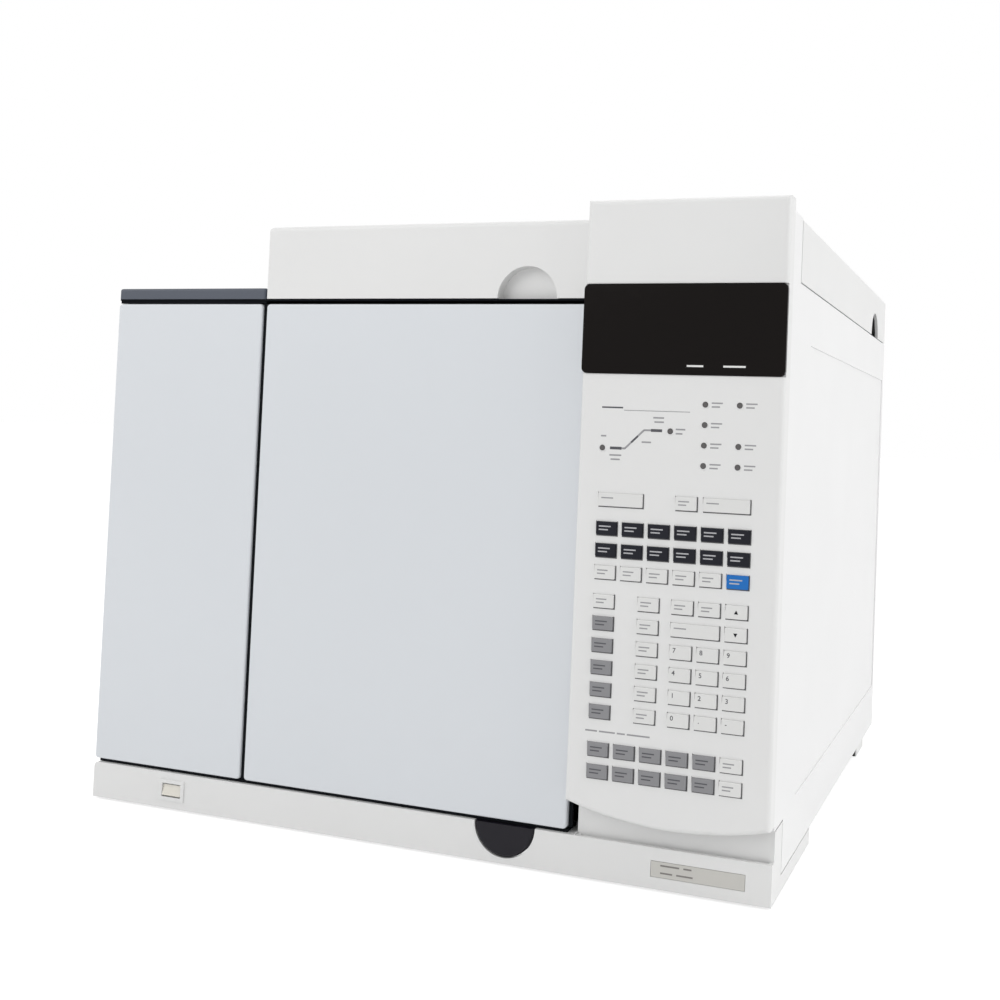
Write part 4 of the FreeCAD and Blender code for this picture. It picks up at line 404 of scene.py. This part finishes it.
key_layout = {
    "stop_key": [("A", 0.5, TOP_WIDTH)],
    "prep_key": [("A", 3, KEY_WIDTH)],
    "start_key": [("A", 4.5, TOP_WIDTH)],
    "menu_keys": [(row, column, KEY_WIDTH) for row in "BC" for column in range(6)],
    "white_keys": [("D", column, KEY_WIDTH) for column in range(5)]
                  + [("E", column, KEY_WIDTH) for column in (0, 3, 4)]
                  + [(row, EDIT_COLUMN, KEY_WIDTH) for row in "E" + EDIT_ROWS]
                  + [("K", 5, KEY_WIDTH), ("L", 5, KEY_WIDTH)],
    "info_key": [("D", 5, KEY_WIDTH)],
    "arrow_keys": [("E", 5, KEY_WIDTH), ("F", 5, KEY_WIDTH)],
    "enter_key": [("F", 3.5, WIDE)],
    "number_keys": [(row, column, KEY_WIDTH) for row in EDIT_ROWS[1:] for column in (3, 4, 5)],
    "grey_keys": [(row, 0, KEY_WIDTH) for row in EDIT_ROWS]
                 + [(row, column, KEY_WIDTH) for row in "KL" for column in range(5)],
}
key_white = paint("key_white", (0.70, 0.70, 0.69), roughness=0.5, grain=1200)
key_black = paint("key_black", (0.006, 0.0065, 0.012), roughness=0.45, grain=1200, shine=0.2)
key_blue = paint("key_blue", (0.006, 0.14, 0.47), roughness=0.45, grain=1200, shine=0.3)
key_grey = paint("key_grey", (0.235, 0.235, 0.245), roughness=0.5, grain=1200)
key_finish = {"menu_keys": (key_black, "key_black"), "info_key": (key_blue, "key_blue"),
              "grey_keys": (key_grey, "key_grey")}


def key_middle(row, column):
    """Where a key's middle lies on the bezel's face."""
    across = SECOND_COLUMN if column == EDIT_COLUMN else column * COLUMN
    return Vector((LEFT + FIRST_COLUMN + across, 0, row_heights[row]))


def bar_pattern(width, pale):
    """The short bars on a key's face in place of words: across and up from its middle, and length."""
    if width > KEY_WIDTH * 1.5:
        return [(-width / 2 + 3 * MM, 1.2 * MM, 9 * MM)]
    if pale:
        return [(-5.5 * MM, 1.4 * MM, 8 * MM), (-5.5 * MM, -1.0 * MM, 6 * MM)]
    return [(-5.5 * MM, 1.4 * MM, 9 * MM), (-5.5 * MM, -1.0 * MM, 7 * MM)]


ink_pale = paint("ink_pale", (0.42, 0.42, 0.44), roughness=0.6)
CAP_INSET, RIM, CAP_EDGE = 0.5 * MM, 0.35 * MM, 0.45 * MM
# Painted shade and light round each key: dark lines on its right and lower sides, bezel-coloured strips
# over the gap on its left and upper sides.
shadows, lit_surrounds = bmesh.new(), bmesh.new()
for label, keys in key_layout.items():
    cap_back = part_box(label)[1][1]
    material, slot = key_finish.get(label, (key_white, "key_white"))
    caps, bars = bmesh.new(), bmesh.new()
    for row, column, width in keys:
        middle = key_middle(row, column)
        half = Vector((width / 2 - CAP_INSET, 0, KEY_HEIGHT / 2 - CAP_INSET))
        add_block(caps, (middle.x - half.x, CAP_FRONT, middle.z - half.z),
                  (middle.x + half.x, cap_back, middle.z + half.z))
        outer = Vector((width / 2 + RIM, 0, KEY_HEIGHT / 2 + RIM))
        inner = Vector((half.x + 0.05 * MM, 0, half.z + 0.05 * MM))
        for form, side in ((shadows, 1), (lit_surrounds, -1)):
            across = sorted((side * inner.x, side * outer.x))
            top = inner.z if side > 0 else outer.z - inner.z
            add_block(form, (middle.x + across[0], FACE - PRINT, middle.z - outer.z),
                      (middle.x + across[1], FACE + RIM, middle.z + top))
            up = sorted((-side * inner.z, -side * outer.z))
            add_block(form, (middle.x - inner.x, FACE - PRINT, middle.z + up[0]),
                      (middle.x + inner.x, FACE + RIM, middle.z + up[1]))
        if label not in ("number_keys", "arrow_keys"):
            for across, up, length in bar_pattern(width, material is key_white):
                add_bar(bars, middle.x - LEFT + across, middle.z + up, length, 0.9 * MM, face=CAP_FRONT,
                        depth=0.02 * MM)
    corners = [edge for edge in caps.edges
               if abs((edge.verts[0].co - edge.verts[1].co).normalized().y) > 0.9]
    bmesh.ops.bevel(caps, geom=corners, offset=CORNER, segments=3, affect="EDGES", profile=0.5,
                    material=-1)
    front_edges = [edge for edge in caps.edges
                   if all(abs(point.co.y - CAP_FRONT) < 0.01 * MM for point in edge.verts)]
    bmesh.ops.bevel(caps, geom=front_edges, offset=CAP_EDGE, segments=2, affect="EDGES", profile=0.5,
                    material=-1)
    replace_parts(new_piece(label + "_caps", caps, material, label), label)
    if bars.verts:
        ink = {"key_white": ink_grey, "key_grey": ink_dark}.get(slot, ink_pale)
        new_piece(label + "_legends", bars, ink, label)
    else:
        bars.free()
key_painted_shadow = paint("key_painted_shadow", (0.10, 0.10, 0.105), roughness=0.7)
new_piece("key_shadow_lines", shadows, key_painted_shadow, CABINET)
new_piece("key_lit_surrounds", lit_surrounds, moulding, CABINET)


# Figures and arrows. The number keys carry the figures, a point and a minus sign near their upper left
# corner, and the two arrow keys a small triangle that points up or down.
FIGURES, FIGURE_SIZE = "7894561230.-", 4.6 * MM
figures = bmesh.new()
for index, figure in enumerate(FIGURES):
    letters = bpy.data.curves.new("figure", "FONT")
    letters.body = figure
    letters.size = FIGURE_SIZE
    letters.align_x = "CENTER"
    letters.align_y = "CENTER"
    letters.extrude = 0.02 * MM
    letters.offset = 0.07 * MM
    stand_in = bpy.data.objects.new("figure", letters)
    flat = bpy.data.meshes.new_from_object(stand_in)
    middle = key_middle(EDIT_ROWS[1 + index // 3], 3 + index % 3)
    flat.transform(Matrix.Translation((middle.x - 4.4 * MM, CAP_FRONT, middle.z + 1.3 * MM))
                   @ Matrix.Rotation(math.pi / 2, 4, "X"))
    figures.from_mesh(flat)
    bpy.data.objects.remove(stand_in)
    bpy.data.meshes.remove(flat)
new_piece("number_figures", figures, ink_dark, "number_keys")

ARROW = ((-1.5, -1.3), (1.5, -1.3), (0, 1.5))
arrows = bmesh.new()
for row, way in (("E", 1), ("F", -1)):
    middle = key_middle(row, 5)
    points = [arrows.verts.new((middle.x + across * MM, CAP_FRONT - 0.02 * MM, middle.z + way * up * MM))
              for across, up in ARROW]
    face = arrows.faces.new(points if way > 0 else points[::-1])
    grown = bmesh.ops.extrude_face_region(arrows, geom=[face])
    moved = [item for item in grown["geom"] if isinstance(item, bmesh.types.BMVert)]
    bmesh.ops.translate(arrows, verts=moved, vec=(0, 0.03 * MM, 0))
bmesh.ops.recalc_face_normals(arrows, faces=arrows.faces)
new_piece("arrow_marks", arrows, black_moulding, "arrow_keys")


# Oven inside. Heat-dulled stainless steel for the liner, the shroud and the fan, and grey wool round them.
# A thin steel facing with a chamfered rim covers the wool plug on the back of the door.
oven_steel = paint("oven_steel", (0.42, 0.41, 0.39), roughness=0.38, metallic=1.0, grain=300,
                   squeeze=(1, 1, 14), cloud=0.10)
dress(oven_steel, "oven_liner", "fan_shroud", "oven_fan", "temperature_sensor")
pan_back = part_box("door_inner_pan")[1][1]
raised = [point.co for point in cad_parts["door_insulation"].data.vertices
          if point.co.y > pan_back - 0.1 * MM]
facing_low = [min(point[axis] for point in raised) for axis in range(3)]
facing_high = [max(point[axis] for point in raised) for axis in range(3)]
facing = bmesh.new()
add_block(facing, [value - LAP for value in facing_low], [value + LAP for value in facing_high])
rear_rim = [edge for edge in facing.edges if all(point.co.y > facing_high[1] for point in edge.verts)]
bmesh.ops.bevel(facing, geom=rear_rim, offset=4 * MM, segments=1, affect="EDGES", profile=0.5, material=-1)
new_piece("door_plug_facing", facing, oven_steel, DOOR)
dress(paint("heater_sheath", (0.10, 0.09, 0.085), roughness=0.6, metallic=0.8), "heater_coil")
dress(paint("wool", (0.55, 0.52, 0.46), roughness=0.95, grain=400, depth=0.2, cloud=0.15),
      "oven_insulation", "door_insulation")
# The front frame's near-black enamel is partly painted shade: it keeps the gaps round the door and lid
# dark.
dress(paint("front_frame_enamel_and_shade", (0.035, 0.036, 0.04), roughness=0.5), "oven_front_frame")
dress(paint("motor_black", (0.03, 0.03, 0.032), roughness=0.45), "fan_motor")


# Chassis and fittings. Zinc-plated sheet for the base, the bulkhead and the duct, dark deck and hinge
# leaves, turned steel inlets and detectors, anodised flow modules and brass gas fittings.
zinc = paint("zinc_sheet", (0.46, 0.47, 0.48), roughness=0.35, metallic=1.0, grain=250, cloud=0.12)
dress(zinc, "base_pan", "bay_bulkhead", "door_hinge_pins", "door_striker", "exhaust_duct",
      "exhaust_flap", "power_supply")
dress(paint("deck_dark", (0.05, 0.052, 0.056), roughness=0.55, metallic=0.4), "oven_top_deck",
      "hinge_brackets")
dress(paint("port_steel", (0.56, 0.55, 0.53), roughness=0.25, metallic=1.0, grain=500,
            squeeze=(1, 1, 10)), "front_inlet", "back_inlet", "front_detector", "back_detector")
dress(paint("module_anodised", (0.42, 0.43, 0.45), roughness=0.4, metallic=0.9, grain=700),
      "pneumatics_modules")
dress(paint("fitting_brass", (0.60, 0.43, 0.17), roughness=0.25, metallic=1.0, grain=500),
      "gas_fittings")


# Column. Fine turns of amber silica wound round the wire cage, a little uneven as real turns are, with the
# two ends led straight up to the inlet and the detector. It takes the place of the plain ring.
dress(paint("cage_chrome", (0.62, 0.62, 0.62), roughness=0.18, metallic=1.0, grain=300), "column_cage")
cage_low, cage_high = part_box("column_cage")
coil_low, coil_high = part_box("column_coil")
turn_middle = Vector(((cage_low[0] + cage_high[0]) / 2, 0, (cage_low[2] + cage_high[2]) / 2))
cage_half = (cage_high[2] - cage_low[2]) / 2
COIL_MARGIN, STRAND, WIRE_CLEARANCE, LAYER_STEP = 8 * MM, 0.5 * MM, 1.2 * MM, 1.2 * MM
LAYERS, TURNS_ACROSS, TURN_STEPS, STRAND_SIDES = 4, 22, 56, 6
unevenness = random.Random(7)
turns = bmesh.new()
first_turn = cage_low[1] + COIL_MARGIN + 2 * STRAND
turn_step = (cage_high[1] - cage_low[1] - COIL_MARGIN) / 3 / TURNS_ACROSS * 1.26
for layer in range(LAYERS):
    for turn in range(TURNS_ACROSS - layer):
        radius = cage_half + WIRE_CLEARANCE + layer * LAYER_STEP + unevenness.uniform(0, 0.3) * MM
        along = first_turn + (turn + layer / 2) * turn_step + unevenness.uniform(-0.2, 0.2) * MM
        ring = bmesh.new()
        section = []
        for side in range(STRAND_SIDES):
            angle = math.tau * side / STRAND_SIDES
            section.append(ring.verts.new((turn_middle.x + radius + STRAND * math.cos(angle),
                                           along + STRAND * math.sin(angle), turn_middle.z)))
        loop = [ring.edges.new((section[side], section[(side + 1) % STRAND_SIDES]))
                for side in range(STRAND_SIDES)]
        bmesh.ops.spin(ring, geom=section + loop, cent=turn_middle, axis=(0, 1, 0), angle=math.tau,
                       steps=TURN_STEPS, use_merge=True)
        one_turn = bpy.data.meshes.new("one_turn")
        ring.to_mesh(one_turn)
        ring.free()
        turns.from_mesh(one_turn)
        bpy.data.meshes.remove(one_turn)
for across in (coil_low[0] + 64.3 * MM, coil_high[0] - 27.3 * MM):
    reach = math.sqrt((cage_half + 4 * MM) ** 2 - (across - turn_middle.x) ** 2)
    start = turn_middle.z + reach
    lead_middle = Vector((across, first_turn + 10 * MM, (coil_high[2] + start) / 2))
    bmesh.ops.create_cone(turns, cap_ends=True, segments=10, radius1=STRAND, radius2=STRAND,
                          depth=coil_high[2] - start, matrix=Matrix.Translation(lead_middle))
bmesh.ops.recalc_face_normals(turns, faces=turns.faces)
amber = paint("amber_silica", (0.36, 0.13, 0.03), roughness=0.25, grain=900, cloud=0.25, coat=0.3)
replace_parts(new_piece("column_turns", turns, amber, CABINET), "column_coil")


# Screws. Pan heads hold the back panel, the rear cover, the power inlet and the door's steel plug. The
# socket in each is a dark hexagon of painted shade.
PANEL_SCREW, COVER_SCREW, INLET_SCREW, INSET = 3.2 * MM, 2.6 * MM, 1.8 * MM, 12 * MM
HEAD, SOCKET_SHADE = (1, 0.72, 0, 0.42, 20), (0.4, 0.4, 0.3, 0.16, 6)
heads, socket_shade = bmesh.new(), bmesh.new()
plug_heads, plug_socket_shade = bmesh.new(), bmesh.new()


def add_screw(form, shade_form, across, back, up, radius):
    """A pan head that faces the back, with a dark hexagon of painted shade for its socket, both sized by
    the head's radius.
    """
    for target, (wide, narrow, start, length, sides) in ((form, HEAD), (shade_form, SOCKET_SHADE)):
        place = Matrix.Translation((across, back + (start + length / 2) * radius, up))
        bmesh.ops.create_cone(target, cap_ends=True, segments=sides, radius1=wide * radius,
                              radius2=narrow * radius, depth=length * radius,
                              matrix=place @ Matrix.Rotation(-math.pi / 2, 4, "X"))


back_low, back_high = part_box("rear_panel")
for across in (back_low[0] + INSET, -100 * MM, 100 * MM, back_high[0] - INSET):
    for up in (back_low[2] + INSET, 405 * MM):
        add_screw(heads, socket_shade, across, back_high[1], up, PANEL_SCREW)
for across in (back_low[0] + INSET, back_high[0] - INSET):
    add_screw(heads, socket_shade, across, back_high[1], 215 * MM, PANEL_SCREW)
rear_low, rear_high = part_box("rear_top_cover")
for across in (rear_low[0] + INSET, rear_high[0] - INSET):
    add_screw(heads, socket_shade, across, rear_high[1], rear_high[2] - 2 * INSET, COVER_SCREW)
inlet_low, inlet_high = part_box("power_inlet")
for across in (inlet_low[0] + 2.6 * MM, inlet_high[0] - 2.6 * MM):
    add_screw(heads, socket_shade, across, inlet_high[1] - 0.05 * MM, (inlet_low[2] + inlet_high[2]) / 2,
              INLET_SCREW)
for across in (facing_low[0] + INSET, facing_high[0] - INSET):
    for up in (facing_low[2] + INSET, facing_high[2] - INSET):
        add_screw(plug_heads, plug_socket_shade, across, facing_high[1] + 0.15 * MM, up, COVER_SCREW)
new_piece("back_screws", heads, zinc, CABINET)
new_piece("back_screw_socket_shade", socket_shade, shadow_black, CABINET)
new_piece("plug_screws", plug_heads, zinc, DOOR)
new_piece("plug_screw_socket_shade", plug_socket_shade, shadow_black, DOOR)


# Boards. Green lacquered circuit boards behind the keypad and the display and in the electronics bay, seen
# only when the cover is off.
board_green = paint("board_green", (0.02, 0.10, 0.045), roughness=0.35, coat=0.4, grain=500, cloud=0.2)
dress(board_green, "main_board", "keypad_board", "display_module")
